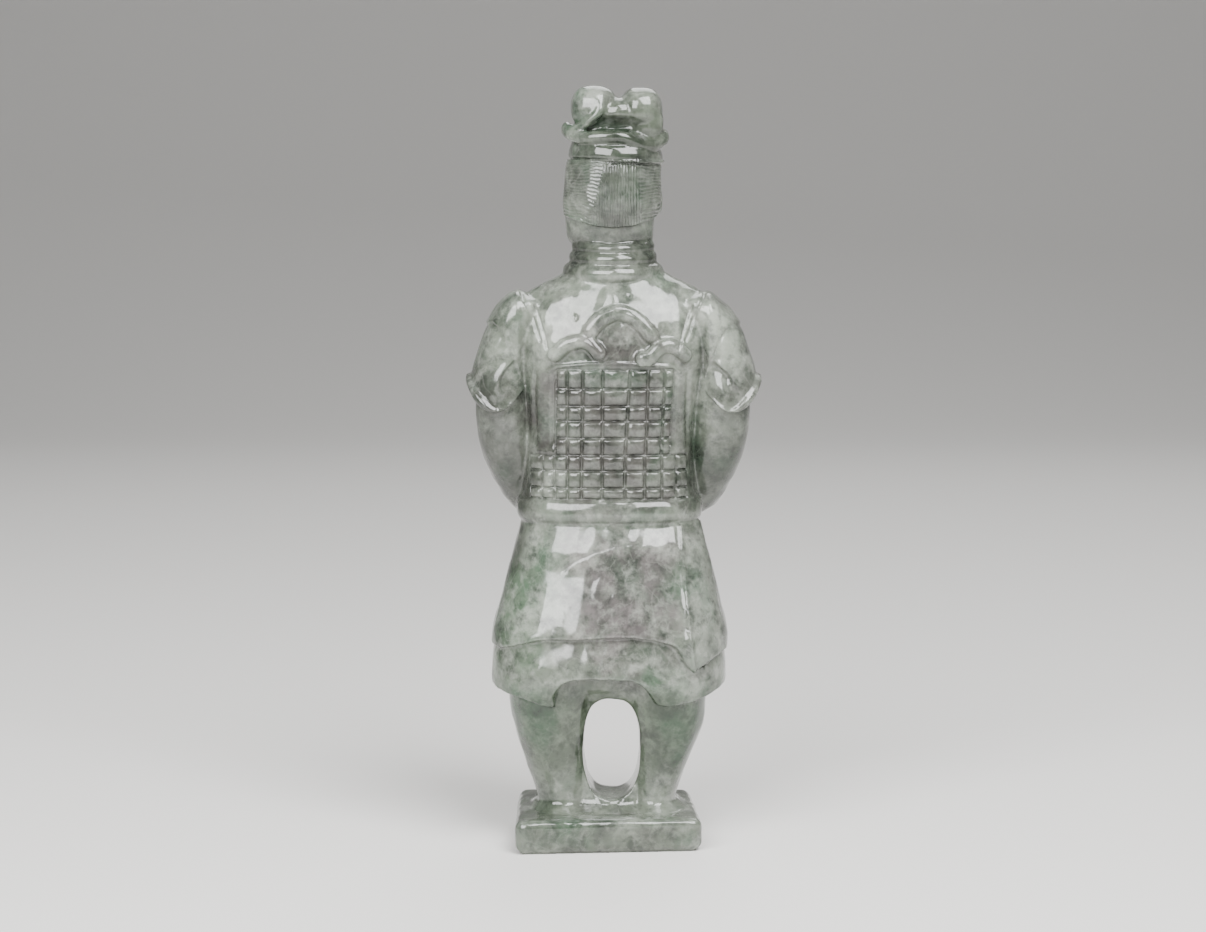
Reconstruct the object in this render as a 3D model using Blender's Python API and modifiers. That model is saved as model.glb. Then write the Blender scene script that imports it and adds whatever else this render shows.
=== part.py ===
"""Jadeite soldier figurine: an armoured officer and the plinth below, carved from one block.

The figure faces -Y and stands on a plinth whose underside is centred on the origin.
Its masses are lofts, limbs and balls that a voxel remesh fuses into one skin. The armour
plates, seams and hems are then carved into that skin, and the skin is thinned to facets.
"""

import math

import bmesh
import bpy
import numpy as np
from mathutils import Matrix, Vector

# Driving sizes, in metres.
FIGURE_HEIGHT = 0.2411
PLINTH_WIDTH = 0.0622
PLINTH_DEPTH = 0.0520
PLINTH_HEIGHT = 0.0115
PLINTH_ROUNDING = 0.0032
PLINTH_TAPER = 0.0030
PLINTH_SKEW_TOP = 0.0025
PLINTH_SKEW_FOOT = 0.0060
LEG_GAP_WIDTH = 0.0188
LEG_GAP_HEIGHT = 0.0350
LEG_GAP_RIM = 0.0040
RIBBON_WIDTH = 0.0049
COLLAR_ROLL = 0.0060
PLATE_GROOVE_WIDTH = 0.0010
PLATE_GROOVE_DEPTH = 0.0008
HEM_THICKNESS = 0.0030
SLEEVE_HEM_ROLL = 0.0030
PANEL_RISE = 0.0006
APRON_RISE = 0.0012
GUARD_RISE = 0.0008
FLAP_RISE = 0.0010
HAIR_RISE = 0.0011
SEAM_WIDTH = 0.00075
SEAM_DEPTH = 0.00065

# The skin is sampled this finely, softened this often and thinned to this many triangles.
SKIN_GRAIN = 0.0006
SKIN_SOFTENING = 3
SKIN_TRIANGLES = 9600
EASE_FACTOR = 0.005
FACE_EASE = 0.05
CAP_EASE = 0.85

PLINTH_CENTRE_X = 0.0007

# The tables below are a drawing of the figure in its own units, which come out close to
# millimetres. UNIT and figure_point(), after them, fit the drawing to the sizes above.

# height, centre x, half width, centre y, front depth, back depth, squareness
TORSO = (
    (196.0, -1.2, 12.0, 0.5, 9.5, 10.5, 2.0),
    (191.0, -1.2, 14.5, 0.5, 10.0, 11.5, 2.0),
    (188.5, -1.2, 18.5, 0.5, 11.0, 12.6, 2.0),
    (186.0, -1.2, 23.8, 0.4, 11.8, 13.6, 2.1),
    (183.0, -1.1, 29.0, 0.2, 13.0, 14.9, 2.2),
    (179.0, -1.0, 32.4, 0.0, 14.6, 16.6, 2.3),
    (173.0, -0.9, 33.6, 0.0, 16.8, 18.6, 2.4),
    (165.0, -0.6, 32.6, 0.0, 18.4, 19.8, 2.5),
    (155.0, -0.3, 30.3, 0.0, 19.2, 19.8, 2.6),
    (144.0, 0.1, 28.6, 0.0, 19.2, 19.1, 2.7),
    (132.0, 0.5, 28.2, 0.0, 18.8, 18.4, 2.7),
    (122.0, 0.6, 28.9, 0.0, 18.2, 18.0, 2.7),
    (113.0, 0.5, 29.8, 0.0, 17.6, 17.8, 2.7),
    (104.0, 0.4, 29.6, 0.0, 17.0, 17.4, 2.7),
)
BELT = (
    (115.3, 0.5, 29.4, 0.0, 17.8, 17.8, 2.7),
    (114.6, 0.5, 30.3, 0.0, 18.7, 18.8, 2.7),
    (112.8, 0.5, 30.9, 0.0, 19.4, 19.6, 2.7),
    (110.0, 0.5, 31.0, 0.0, 19.6, 19.8, 2.7),
    (108.4, 0.5, 30.6, 0.0, 19.2, 19.3, 2.7),
    (107.4, 0.5, 29.8, 0.0, 18.2, 18.2, 2.7),
)
UPPER_ROBE = (
    (109.0, 0.3, 29.6, 0.0, 17.8, 18.2, 2.6),
    (106.0, 0.3, 30.0, 0.0, 18.2, 18.6, 2.6),
    (103.0, 0.2, 30.8, 0.0, 19.0, 19.9, 2.6),
    (99.0, 0.2, 32.0, 0.0, 20.1, 21.2, 2.6),
    (92.0, 0.1, 33.9, 0.0, 21.2, 21.9, 2.6),
    (85.0, 0.1, 35.7, 0.0, 22.6, 23.2, 2.6),
    (78.0, 0.2, 37.4, 0.0, 24.0, 24.7, 2.7),
    (73.0, 0.3, 38.8, 0.0, 24.9, 25.7, 2.7),
    (69.0, 0.4, 39.6, 0.0, 25.4, 26.3, 2.8),
    (64.0, 0.5, 39.8, 0.0, 25.8, 26.8, 2.8),
    (56.0, 0.5, 39.8, 0.0, 25.9, 27.0, 2.8),
)
LOWER_ROBE = (
    (100.0, 0.5, 29.0, 0.0, 17.4, 18.0, 2.6),
    (78.0, 0.7, 35.0, 0.0, 21.8, 22.2, 2.6),
    (68.0, 0.7, 38.0, 0.0, 23.4, 23.9, 2.6),
    (63.0, 0.7, 38.9, 0.0, 24.2, 24.9, 2.6),
    (58.0, 0.7, 39.3, 0.0, 24.8, 25.8, 2.6),
    (52.0, 0.9, 39.2, 0.0, 25.0, 26.2, 2.6),
    (48.6, 1.2, 36.8, 0.0, 24.6, 25.7, 2.6),
    (46.4, 1.4, 33.4, 0.0, 23.6, 24.8, 2.5),
    (44.0, 1.4, 31.4, 0.0, 22.6, 23.6, 2.5),
)
# How often a hem's heights are taken again from the outline that they shape, and how far the
# hollow under a hem narrows inwards.
HEM_PASSES = 6
HEM_HOLLOW = 0.08
# The foot of each robe: height against x, along the back and along the front.
UPPER_HEM_BACK = (
    (-40.0, 65.0), (-37.8, 64.1), (-35.3, 63.5), (-32.0, 62.1), (-28.7, 60.3), (-26.4, 59.9),
    (-24.5, 62.5), (-23.1, 65.8), (-21.7, 67.6), (-18.5, 68.6), (-14.0, 69.7), (-7.6, 70.6),
    (1.5, 70.4), (10.5, 69.9), (24.2, 69.5), (28.8, 68.3), (33.5, 66.8), (37.8, 65.6), (40.0, 66.0),
)
UPPER_HEM_FRONT = (
    (-40.0, 65.0), (-30.0, 66.0), (-14.0, 67.6), (4.0, 68.2), (7.5, 66.0), (10.0, 60.5),
    (13.0, 60.5), (22.0, 64.6), (32.0, 66.0), (40.0, 66.0),
)
LOWER_HEM_BACK = (
    (-40.0, 53.0), (-35.5, 51.2), (-30.7, 49.3), (-26.0, 48.0), (-22.3, 47.2), (-18.6, 47.1),
    (-16.3, 47.9), (-14.5, 49.8), (-12.7, 52.7), (-10.4, 54.8), (-6.7, 56.2), (-0.4, 56.5),
    (6.9, 56.7), (13.3, 56.3), (16.9, 54.7), (19.0, 52.2), (20.4, 49.2), (22.0, 46.8), (24.8, 47.6),
    (28.9, 49.3), (33.6, 50.3), (37.9, 51.4), (40.0, 52.6),
)
LOWER_HEM_FRONT = (
    (-40.0, 53.0), (-30.0, 49.6), (-19.0, 47.6), (-15.5, 50.0), (-11.0, 56.0), (0.0, 57.4),
    (11.0, 56.0), (15.5, 50.0), (19.0, 47.6), (30.0, 49.6), (40.0, 52.6),
)
LEG_LEFT = (
    (64.0, 16.0, 17.0, -1.0, 18.0, 21.0, 2.6),
    (54.0, 17.8, 16.4, -1.0, 18.0, 21.4, 2.6),
    (46.0, 19.4, 14.9, -1.2, 17.0, 20.2, 2.6),
    (39.0, 19.4, 13.5, -1.4, 15.8, 18.6, 2.6),
    (34.0, 19.0, 12.7, -1.6, 15.0, 17.4, 2.6),
    (25.6, 17.9, 11.1, -1.8, 13.6, 15.2, 2.6),
    (17.4, 16.6, 9.6, -2.0, 12.6, 13.6, 2.5),
    (13.0, 16.2, 8.8, -2.0, 12.6, 13.4, 2.4),
    (11.0, 16.0, 9.6, -2.0, 13.6, 14.6, 2.3),
    (9.4, 16.0, 12.0, -2.0, 15.6, 17.2, 2.3),
    (6.0, 16.0, 12.0, -2.0, 15.6, 17.2, 2.3),
)
LEG_RIGHT = (
    (64.0, -15.0, 17.0, -1.0, 18.0, 21.0, 2.6),
    (54.0, -17.0, 15.6, -1.0, 18.0, 21.4, 2.6),
    (46.0, -18.0, 14.0, -1.2, 17.0, 20.2, 2.6),
    (39.0, -18.2, 13.1, -1.4, 15.8, 18.6, 2.6),
    (34.0, -17.6, 12.0, -1.6, 15.0, 17.4, 2.6),
    (25.6, -16.2, 10.0, -1.8, 13.6, 15.2, 2.6),
    (17.4, -15.0, 8.2, -2.0, 12.6, 13.6, 2.5),
    (13.0, -14.6, 7.4, -2.0, 12.6, 13.4, 2.4),
    (11.0, -14.8, 8.2, -2.0, 13.6, 14.6, 2.3),
    (9.4, -15.0, 11.0, -2.0, 15.6, 17.2, 2.3),
    (6.0, -15.0, 11.0, -2.0, 15.6, 17.2, 2.3),
)
# The stone between the legs, above and below the gap.
LEG_WEB = (
    (62.0, 0.4, 20.0, -1.0, 17.6, 21.4, 3.0),
    (54.0, 0.4, 19.0, -1.1, 17.0, 20.4, 3.0),
    (49.0, 0.4, 18.0, -1.2, 15.6, 17.4, 3.0),
    (42.0, 0.4, 15.0, -1.4, 13.6, 13.8, 3.0),
    (34.0, 0.4, 14.0, -1.6, 12.6, 12.6, 3.0),
    (24.0, 0.4, 13.4, -1.8, 11.8, 12.4, 3.0),
    (15.0, 0.4, 13.0, -2.0, 11.0, 12.0, 3.0),
    (11.5, 0.4, 13.0, -2.0, 11.6, 12.8, 3.0),
    (9.4, 0.4, 14.0, -2.0, 14.0, 15.8, 3.0),
    (6.0, 0.4, 14.0, -2.0, 14.0, 15.8, 3.0),
)
LEG_GAP_FOOT = 13.2
LEG_GAP_CENTRE = -0.2
LEG_GAP_SQUARENESS = 2.6
LEG_GAP_REACH = 24.0

# x, y, height, radius across, radius through; these are for the +X side.
ARM = (
    (32.4, 1.0, 170.0, 7.6, 8.6),
    (34.6, 1.4, 159.0, 9.2, 10.0),
    (35.6, 1.5, 149.0, 9.5, 10.3),
    (35.3, 1.2, 140.5, 9.6, 10.3),
    (34.1, 0.4, 132.0, 9.4, 10.0),
    (30.6, -3.6, 123.4, 9.3, 9.3),
    (26.2, -10.2, 116.0, 8.9, 8.7),
    (17.8, -16.8, 114.8, 7.6, 7.8),
    (11.5, -20.8, 116.6, 6.2, 6.6),
)
CUFF = ((13.8, -19.4, 116.2, 7.6, 7.9), (12.2, -20.6, 116.6, 8.2, 8.4), (10.8, -21.6, 116.9, 7.4, 7.6))
# height, centre x, half width, centre y, front depth, back depth, squareness
SLEEVE = (
    (183.2, 29.8, 0.9, 0.5, 4.5, 5.5, 2.0),
    (182.4, 30.2, 2.8, 0.6, 8.0, 9.2, 2.1),
    (181.3, 29.0, 5.2, 0.7, 10.2, 11.8, 2.1),
    (179.8, 28.8, 7.0, 0.8, 11.4, 13.0, 2.2),
    (177.4, 29.9, 8.2, 1.0, 12.2, 13.4, 2.2),
    (171.6, 32.4, 9.0, 1.2, 12.4, 13.2, 2.2),
    (164.0, 35.2, 9.0, 1.4, 12.2, 12.8, 2.2),
    (157.0, 36.8, 9.5, 1.6, 12.0, 12.6, 2.2),
    (151.0, 37.4, 9.9, 1.8, 12.0, 12.6, 2.2),
    (142.0, 37.6, 9.6, 1.8, 11.8, 12.4, 2.2),
)
SLEEVE_HEM_SIDE = 154.4
SLEEVE_HEM_DROP_BACK = 10.2
SLEEVE_HEM_DROP_FRONT = 6.1
SLEEVE_LEAN = -1.8
SLEEVE_LEAN_DROP = 14.0
ARM_LEAN = -1.2
# Stone left between each upper arm and the body, for the +X side.
ARM_BRIDGE = (
    (158.0, 28.0, 5.0, 0.0, 8.0, 5.0, 2.2),
    (140.0, 28.0, 5.0, 0.0, 8.0, 4.0, 2.2),
    (114.0, 28.0, 4.0, -2.0, 9.0, 4.0, 2.2),
)

HEAD = (
    (236.0, -1.7, 9.5, -0.5, 9.5, 10.5, 2.1),
    (232.0, -1.6, 13.4, -0.8, 13.4, 14.2, 2.2),
    (227.0, -1.1, 15.0, -1.0, 15.4, 15.6, 2.2),
    (221.0, -0.6, 15.5, -1.0, 16.2, 16.0, 2.2),
    (215.0, -0.4, 15.8, -1.0, 16.4, 15.6, 2.2),
    (211.0, -0.3, 15.8, -1.0, 16.3, 14.8, 2.2),
    (208.0, 0.3, 15.0, -1.0, 16.1, 13.4, 2.2),
    (204.0, 0.4, 14.6, -1.2, 15.6, 12.2, 2.2),
    (200.5, 0.2, 14.1, -1.4, 14.2, 11.6, 2.2),
    (197.5, -0.4, 12.6, -1.6, 11.8, 11.2, 2.1),
    (192.0, -0.8, 10.8, -0.6, 9.6, 10.4, 2.0),
)
HEADBAND = (
    (231.6, -1.6, 13.2, -0.6, 13.6, 14.6, 2.2),
    (230.8, -1.6, 14.8, -0.8, 15.4, 16.2, 2.2),
    (229.0, -1.6, 15.4, -0.9, 16.2, 17.0, 2.2),
    (227.2, -1.5, 15.5, -1.0, 16.4, 17.2, 2.2),
    (226.2, -1.5, 15.0, -1.0, 15.9, 16.6, 2.2),
)
HEADBAND_SLOPE = 0.06
# The three rolls of the scarf: height, half width and half depth of the roll's own line, share.
SCARF_CENTRE = (-0.7, 0.6)
SCARF = ((190.0, 13.7, 12.3, 1.0), (194.6, 12.3, 11.3, 0.8), (198.2, 11.9, 10.8, 0.62))
SCARF_SAG = 0.9

# Boxy balls: centre and half sizes.
CAP_SQUARENESS = 2.5
CAP_BALLS = (
    ((5.5, 2.4, 243.5), (7.8, 9.8, 7.4)),
    ((-9.8, 2.4, 242.8), (7.2, 9.8, 7.5)),
    ((-2.2, 2.2, 241.6), (8.6, 9.6, 5.6)),
    ((-1.8, 0.0, 236.6), (14.2, 9.4, 5.8)),
    ((-1.8, -0.2, 232.4), (14.8, 13.6, 4.4)),
    ((-11.4, 4.6, 238.6), (5.8, 6.4, 6.4)),
)
# x, y, height, radius across and through: the roll that runs round the cap through both wings,
# and the fold that climbs from the left wing to the dip between the bulbs.
CAP_ROLL = (
    (14.6, 1.6, 236.6, 2.0, 2.6), (13.0, 7.4, 235.0, 2.2, 2.4), (8.4, 11.6, 233.8, 2.2, 2.2),
    (2.6, 13.4, 233.9, 2.3, 2.2), (-3.0, 13.7, 233.9, 2.3, 2.2), (-6.6, 13.0, 232.8, 2.1, 2.1),
    (-10.2, 11.4, 231.4, 1.7, 1.9), (-13.8, 8.8, 231.4, 1.8, 2.1), (-17.0, 3.4, 233.8, 2.1, 2.6),
    (-15.6, -6.0, 234.4, 2.2, 2.2), (-9.6, -12.0, 233.4, 2.1, 2.1), (-1.8, -13.8, 233.2, 2.0, 2.0),
    (6.0, -12.2, 233.4, 2.1, 2.1), (12.4, -6.8, 235.0, 2.2, 2.2),
)
CAP_FOLD = (
    (13.8, 5.4, 236.6, 1.7, 2.0), (10.8, 9.0, 236.6, 1.7, 2.2), (7.2, 10.6, 239.0, 1.8, 2.4),
    (4.2, 11.0, 241.6, 2.0, 2.4), (3.5, 10.2, 244.6, 2.0, 2.2), (3.2, 8.2, 247.6, 1.6, 1.8),
)

FACE_CENTRE = -0.5
FACE_BALLS = (
    ((0.0, -13.8, 200.9), (4.6, 3.4, 3.2)),
    ((5.6, -15.3, 213.6), (3.4, 2.0, 1.5)),
    ((-5.6, -15.3, 213.6), (3.4, 2.0, 1.5)),
    ((2.0, -17.3, 208.1), (1.5, 1.7, 1.3)),
    ((-2.0, -17.3, 208.1), (1.5, 1.7, 1.3)),
    ((14.9, -0.6, 213.2), (1.7, 3.0, 4.9)),
    ((-14.9, -0.6, 213.2), (1.7, 3.0, 4.9)),
)
# x from the face's centre line, y, height and radius, along each feature.
NOSE = ((0.0, -16.2, 217.0, 1.3), (0.0, -17.6, 212.6, 1.4), (0.0, -19.2, 208.4, 1.9))
BROW = ((2.4, -16.9, 216.6, 0.9), (6.4, -16.4, 218.0, 1.0), (10.4, -13.6, 216.8, 0.8))
UPPER_LIP = ((-3.7, -15.9, 203.9, 0.5), (0.0, -17.3, 204.5, 1.0), (3.7, -15.9, 203.9, 0.5))
LOWER_LIP = ((-2.8, -15.9, 202.9, 0.5), (0.0, -17.0, 202.8, 1.05), (2.8, -15.9, 202.9, 0.5))

HAND_BALLS = (
    ((5.6, -22.4, 116.6), (5.6, 3.6, 4.8)),
    ((-4.2, -24.2, 118.0), (6.0, 3.4, 5.0)),
    ((0.4, -19.4, 117.0), (9.0, 5.0, 5.8)),
)
# Fingers of the hand on top: the first finger's start and end, and the step to the next.
FINGER_START = (-3.2, -26.4, 121.6)
FINGER_END = (6.6, -25.4, 120.4)
FINGER_STEP = (0.3, 0.2, -2.35)
FINGER_COUNT = 4
FINGER_RADIUS = 1.3
THUMB = ((-6.6, -25.2, 122.0, 1.4), (-3.4, -25.4, 124.0, 1.4), (0.4, -24.4, 124.4, 1.2))

BOOTS_X = (15.0, -14.0)
# y, half width, top of the boot, along a boot from ankle to toe.
BOOT = ((2.0, 7.6, 17.0), (-6.0, 8.4, 18.6), (-12.0, 8.2, 16.4), (-17.0, 7.9, 14.6),
        (-20.0, 7.6, 14.6), (-22.4, 6.8, 15.4))

# Ribbons across the upper back: x and height along each.
RIBBON_LEFT = (
    (20.3, 161.6), (17.8, 163.8), (15.4, 166.0), (12.3, 167.3), (9.1, 167.6), (6.3, 166.4),
    (4.2, 164.0), (2.4, 161.9),
)
RIBBON_ARCH = (
    (8.2, 168.6), (6.6, 171.4), (3.6, 174.6), (0.0, 176.4), (-2.9, 177.0), (-6.1, 176.1),
    (-9.4, 173.8), (-12.1, 170.8), (-14.6, 167.4),
)
RIBBON_RIGHT = (
    (-8.9, 164.0), (-10.6, 162.1), (-12.9, 162.7), (-15.3, 165.0), (-18.2, 166.2),
    (-21.3, 165.5), (-23.9, 163.4), (-25.8, 161.0),
)
ARCH_SHARE = 1.12
CHEST_RIBBON_RISE = 3.0
RIBBON_LIFT = 0.5
RIBBON_FLATNESS = 0.85

# Armour panel on the back: x of each seam at the panel's head and foot, and the seam heights.
BACK_SEAMS_TOP = (18.0, 14.4, 9.2, 2.8, -6.2, -12.2, -17.6, -20.9)
BACK_SEAMS_FOOT = (18.4, 14.3, 9.6, 2.9, -4.6, -11.3, -16.4, -19.4)
BACK_ROWS = (158.5, 152.0, 146.3, 141.3, 135.7, 130.0)
WAIST_SEAMS = (26.8, 22.6, 18.6, 14.4, 9.8, 3.0, -4.5, -11.0, -16.6, -21.4, -25.2)
WAIST_ROWS = (130.0, 124.8, 119.1, 115.4)
FRONT_SEAMS = (20.0, 15.0, 9.5, 3.4, -3.4, -9.5, -15.0, -20.0)
FRONT_ROWS = (163.0, 157.0, 151.0, 145.0, 139.0, 133.0, 127.0, 121.0, 115.4)
APRON_ROWS = (104.0, 98.0, 92.0, 86.0)
APRON_HALF_WIDTH = 17.0
APRON_TOP = 109.0
APRON_TIP = 80.0

# Seams on the shoulders: x and height. The last shoulder edge is where the guard ends.
STRAP_OUTER = ((29.4, 182.6), (27.6, 179.0), (25.7, 174.9), (24.4, 170.7), (23.2, 167.6))
STRAP_INNER = ((25.0, 179.0), (23.8, 175.6), (21.9, 169.3), (20.9, 165.0))
GUARD_EDGE = ((46.0, 171.0), (42.0, 172.0), (38.6, 173.4), (35.6, 170.6), (33.0, 165.0), (30.6, 158.0))
FLAP_EDGE = ((-21.8, 108.0), (-22.6, 98.0), (-24.0, 84.0), (-25.4, 70.0), (-26.6, 60.0))
HAIR_EDGE = (
    (15.6, 208.6), (11.0, 206.8), (5.0, 205.2), (-1.0, 204.6), (-7.0, 205.2), (-13.0, 207.4),
    (-17.0, 210.0),
)
# Heights and depths between which each relief is laid, and x where the guards and the flap fade.
TRUNK_HALF_WIDTH = 27.5
TRUNK_HEIGHTS = (114.0, 164.0)
BACK_DEPTHS = (8.0, 24.0)
WAIST_DEPTHS = (6.0, 24.0)
FRONT_DEPTHS = (-21.5, -8.0)
APRON_HEIGHTS = (76.0, 110.0)
APRON_DEPTHS = (-24.0, -12.0)
SHOULDER_HEIGHTS = (155.0, 186.0)
GUARD_FADE = (29.0, 31.0)
FLAP_HEIGHTS = (58.0, 107.5)
FLAP_START = -18.0
FLAP_FADE = (30.0, 38.0)
HAIR_HEIGHTS = (200.0, 226.6)
HAIR_FADE = (1.0, 4.0)
# Where the skin keeps more of its facets: the face, the cap and the hands.
FACE_HEIGHTS = (196.0, 222.0)
FACE_DEPTHS = (-24.0, -8.0)
CAP_FOOT = 230.0
HAND_HEIGHTS = (108.0, 128.0)
HAND_DEPTHS = (-34.0, -17.0)
# The shoulders mirror about this x. Carved edges are this wide, and a point of the skin counts
# as facing the back or the front from this share of its normal.
TRUNK_CENTRE = -0.7
EDGE = 0.35
FACING = 0.25

# Where the legs meet the plinth and where the cap ends in the drawing, and the drawing's unit.
DRAWN_FOOT = LEG_WEB[-2][0]
DRAWN_TOP = CAP_BALLS[0][0][2] + CAP_BALLS[0][1][2]
UNIT = FIGURE_HEIGHT / (DRAWN_TOP - DRAWN_FOOT)


def figure_point(point):
    """A drawn point as a place in metres on the real plinth."""
    x, y, height = point
    return (x * UNIT, y * UNIT, PLINTH_HEIGHT + (height - DRAWN_FOOT) * UNIT)


def drawn(length):
    """A length in metres, in the units of the drawing."""
    return length / UNIT


def ramp(value, low, high):
    """0 below low, 1 above high, smooth between them."""
    share = np.clip((value - low) / (high - low), 0, 1)
    return share * share * (3 - 2 * share)


def through(rows, count):
    """Rows of numbers on a smooth curve through the given rows."""
    rows = np.array(rows, float)
    place = np.linspace(0, len(rows) - 1, count)
    index = np.minimum(place.astype(int), len(rows) - 2)
    f = (place - index)[:, None]
    padded = np.vstack([2 * rows[0] - rows[1], rows, 2 * rows[-1] - rows[-2]])
    a, b, c, d = (padded[index + step] for step in range(4))
    return 0.5 * (2 * b + (c - a) * f + (2 * a - 5 * b + 4 * c - d) * f**2 + (3 * b - 3 * c + d - a) * f**3)


def oval(angles, squareness):
    """The two directions of a superellipse of half sizes one."""
    power = 2 / squareness
    across, along = np.cos(angles), np.sin(angles)
    return np.sign(across) * np.abs(across) ** power, np.sign(along) * np.abs(along) ** power


def mesh_object(name, points, faces):
    """A new object from drawn points, its faces turned outwards."""
    mesh = bpy.data.meshes.new(name)
    mesh.from_pydata([figure_point(p) for p in points], [], faces)
    made = bmesh.new()
    made.from_mesh(mesh)
    bmesh.ops.recalc_face_normals(made, faces=made.faces)
    made.to_mesh(mesh)
    made.free()
    body = bpy.data.objects.new(name, mesh)
    bpy.context.scene.collection.objects.link(body)
    return body


def skin_rings(name, rings):
    """A closed loft over rings, an array of levels by points round by three."""
    levels, around = rings.shape[:2]
    faces = [
        (low + j, low + (j + 1) % around, low + around + (j + 1) % around, low + around + j)
        for low in range(0, (levels - 1) * around, around)
        for j in range(around)
    ]
    faces.append(tuple(range(around)))
    faces.append(tuple((levels - 1) * around + j for j in range(around)))
    return mesh_object(name, rings.reshape(-1, 3), faces)


def upright_rings(rows, levels, around, hem=None):
    """Level rings of a standing form.

    hem gives the height of its foot for each x and side. A form with a hem is hollowed
    below, to the thickness of the cloth.
    """
    fine = through(rows, 8 * len(rows))
    fine = fine[np.argsort(fine[:, 0])]
    angles = np.linspace(0, 2 * math.pi, around, endpoint=False)

    def outline(heights):
        centre_x, half_width, centre_y, front, back, squareness = (
            np.interp(heights, fine[:, 0], fine[:, k]) for k in range(1, 7)
        )
        across, along = oval(angles, squareness)
        return centre_x + half_width * across, centre_y + np.where(along > 0, back, front) * along

    top, foot = rows[0][0], rows[-1][0]
    foots = np.full(around, foot)
    if hem is not None:
        for _ in range(HEM_PASSES):
            foots = hem(outline(foots)[0], np.sin(angles))
    heights = top + np.linspace(0, 1, levels)[:, None] * (foots - top)
    rings = np.stack([*outline(heights), heights], axis=-1)
    if hem is None:
        return rings
    lip, roof = rings[-1].copy(), rings[-1].copy()
    middle = np.array([rows[-1][1], rows[-1][3]])
    widest = max(row[2] for row in rows)
    lip[:, :2] += (middle - lip[:, :2]) * drawn(HEM_THICKNESS) / widest
    roof[:, :2] = lip[:, :2] + (middle - lip[:, :2]) * HEM_HOLLOW
    roof[:, 2] = foots.max() + drawn(HEM_THICKNESS)
    return np.concatenate([rings, [lip, roof]])


def upright(name, rows, levels=40, around=96, hem=None):
    return skin_rings(name, upright_rings(rows, levels, around, hem))


def limb(name, rows, levels=28, around=24, reference=None):
    """A tube of changing size along rows of x, y, height, radius across and radius through.

    The through radius lies along the reference direction where one is given. Both ends are
    rounded by a few shrinking rings.
    """
    fine = through(rows, levels)
    path, radii = fine[:, :3], fine[:, 3:]
    tangents = np.gradient(path, axis=0)
    tangents /= np.linalg.norm(tangents, axis=1)[:, None]
    through_way = np.array(reference if reference is not None else (0.0, 1.0, 0.0))
    angles = np.linspace(0, 2 * math.pi, around, endpoint=False)
    rings = []
    for point, tangent, (across_r, through_r) in zip(path, tangents, radii):
        start = np.array(reference) if reference is not None else through_way
        through_way = start - tangent * (start @ tangent)
        through_way /= np.linalg.norm(through_way)
        across_way = np.cross(tangent, through_way)
        rings.append((point, tangent, across_way * across_r, through_way * through_r))
    ends = np.linspace(0, math.pi / 2, 5)[1:-1]
    opening, closing = [], []
    for (point, tangent, across, deep), out, cap in ((rings[0], -1, opening), (rings[-1], 1, closing)):
        reach = out * min(np.linalg.norm(across), np.linalg.norm(deep))
        cap += [
            (point + tangent * reach * math.sin(a), None, across * math.cos(a), deep * math.cos(a))
            for a in ends
        ]
    stack = [
        point + np.cos(angles)[:, None] * across + np.sin(angles)[:, None] * deep
        for point, _, across, deep in opening[::-1] + rings + closing
    ]
    return skin_rings(name, np.array(stack))


def ball(name, centre, half_sizes, squareness=2.0):
    """A ball of these half sizes. Above 2, its squareness makes it boxier."""
    made = bmesh.new()
    bmesh.ops.create_uvsphere(made, u_segments=32, v_segments=20, radius=1.0)
    points = []
    for vertex in made.verts:
        reach = sum(abs(value) ** squareness for value in vertex.co) ** (-1 / squareness)
        points.append(tuple(c + h * reach * value for c, h, value in zip(centre, half_sizes, vertex.co)))
    faces = [tuple(vertex.index for vertex in face.verts) for face in made.faces]
    made.free()
    return mesh_object(name, points, faces)


def mirrored(rows):
    return tuple((-row[0], *row[1:]) for row in rows)


def mesh_copy(name, source):
    """The evaluated source as a plain mesh object of its own, with its caps welded."""
    bpy.context.view_layer.update()
    graph = bpy.context.evaluated_depsgraph_get()
    mesh = bpy.data.meshes.new_from_object(source.evaluated_get(graph))
    welded = bmesh.new()
    welded.from_mesh(mesh)
    bmesh.ops.remove_doubles(welded, verts=welded.verts, dist=1e-6)
    welded.to_mesh(mesh)
    welded.free()
    place = source.matrix_world.copy()
    bpy.data.objects.remove(source)
    copy = bpy.data.objects.new(name, mesh)
    copy.matrix_world = place
    bpy.context.scene.collection.objects.link(copy)
    return copy


def make_plinth():
    """A slab with rounded edges. Its back face is cut askew, as the block was worked by hand."""
    bpy.ops.mesh.primitive_cube_add(size=1.0)
    slab = bpy.context.object
    centre = Vector((PLINTH_CENTRE_X, 0, PLINTH_HEIGHT / 2))
    slab.data.transform(Matrix.LocRotScale(centre, None, Vector((PLINTH_WIDTH, PLINTH_DEPTH, PLINTH_HEIGHT))))
    for vertex in slab.data.vertices:
        if vertex.co.x < 0 < vertex.co.y:
            vertex.co.y -= PLINTH_SKEW_TOP if vertex.co.z > centre.z else PLINTH_SKEW_FOOT
        elif vertex.co.x < 0:
            vertex.co.x += PLINTH_TAPER
    rounding = slab.modifiers.new("rounded edges", "BEVEL")
    rounding.width = min(PLINTH_ROUNDING, 0.45 * PLINTH_HEIGHT)
    rounding.segments = 5
    return mesh_copy("plinth", slab)


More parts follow.
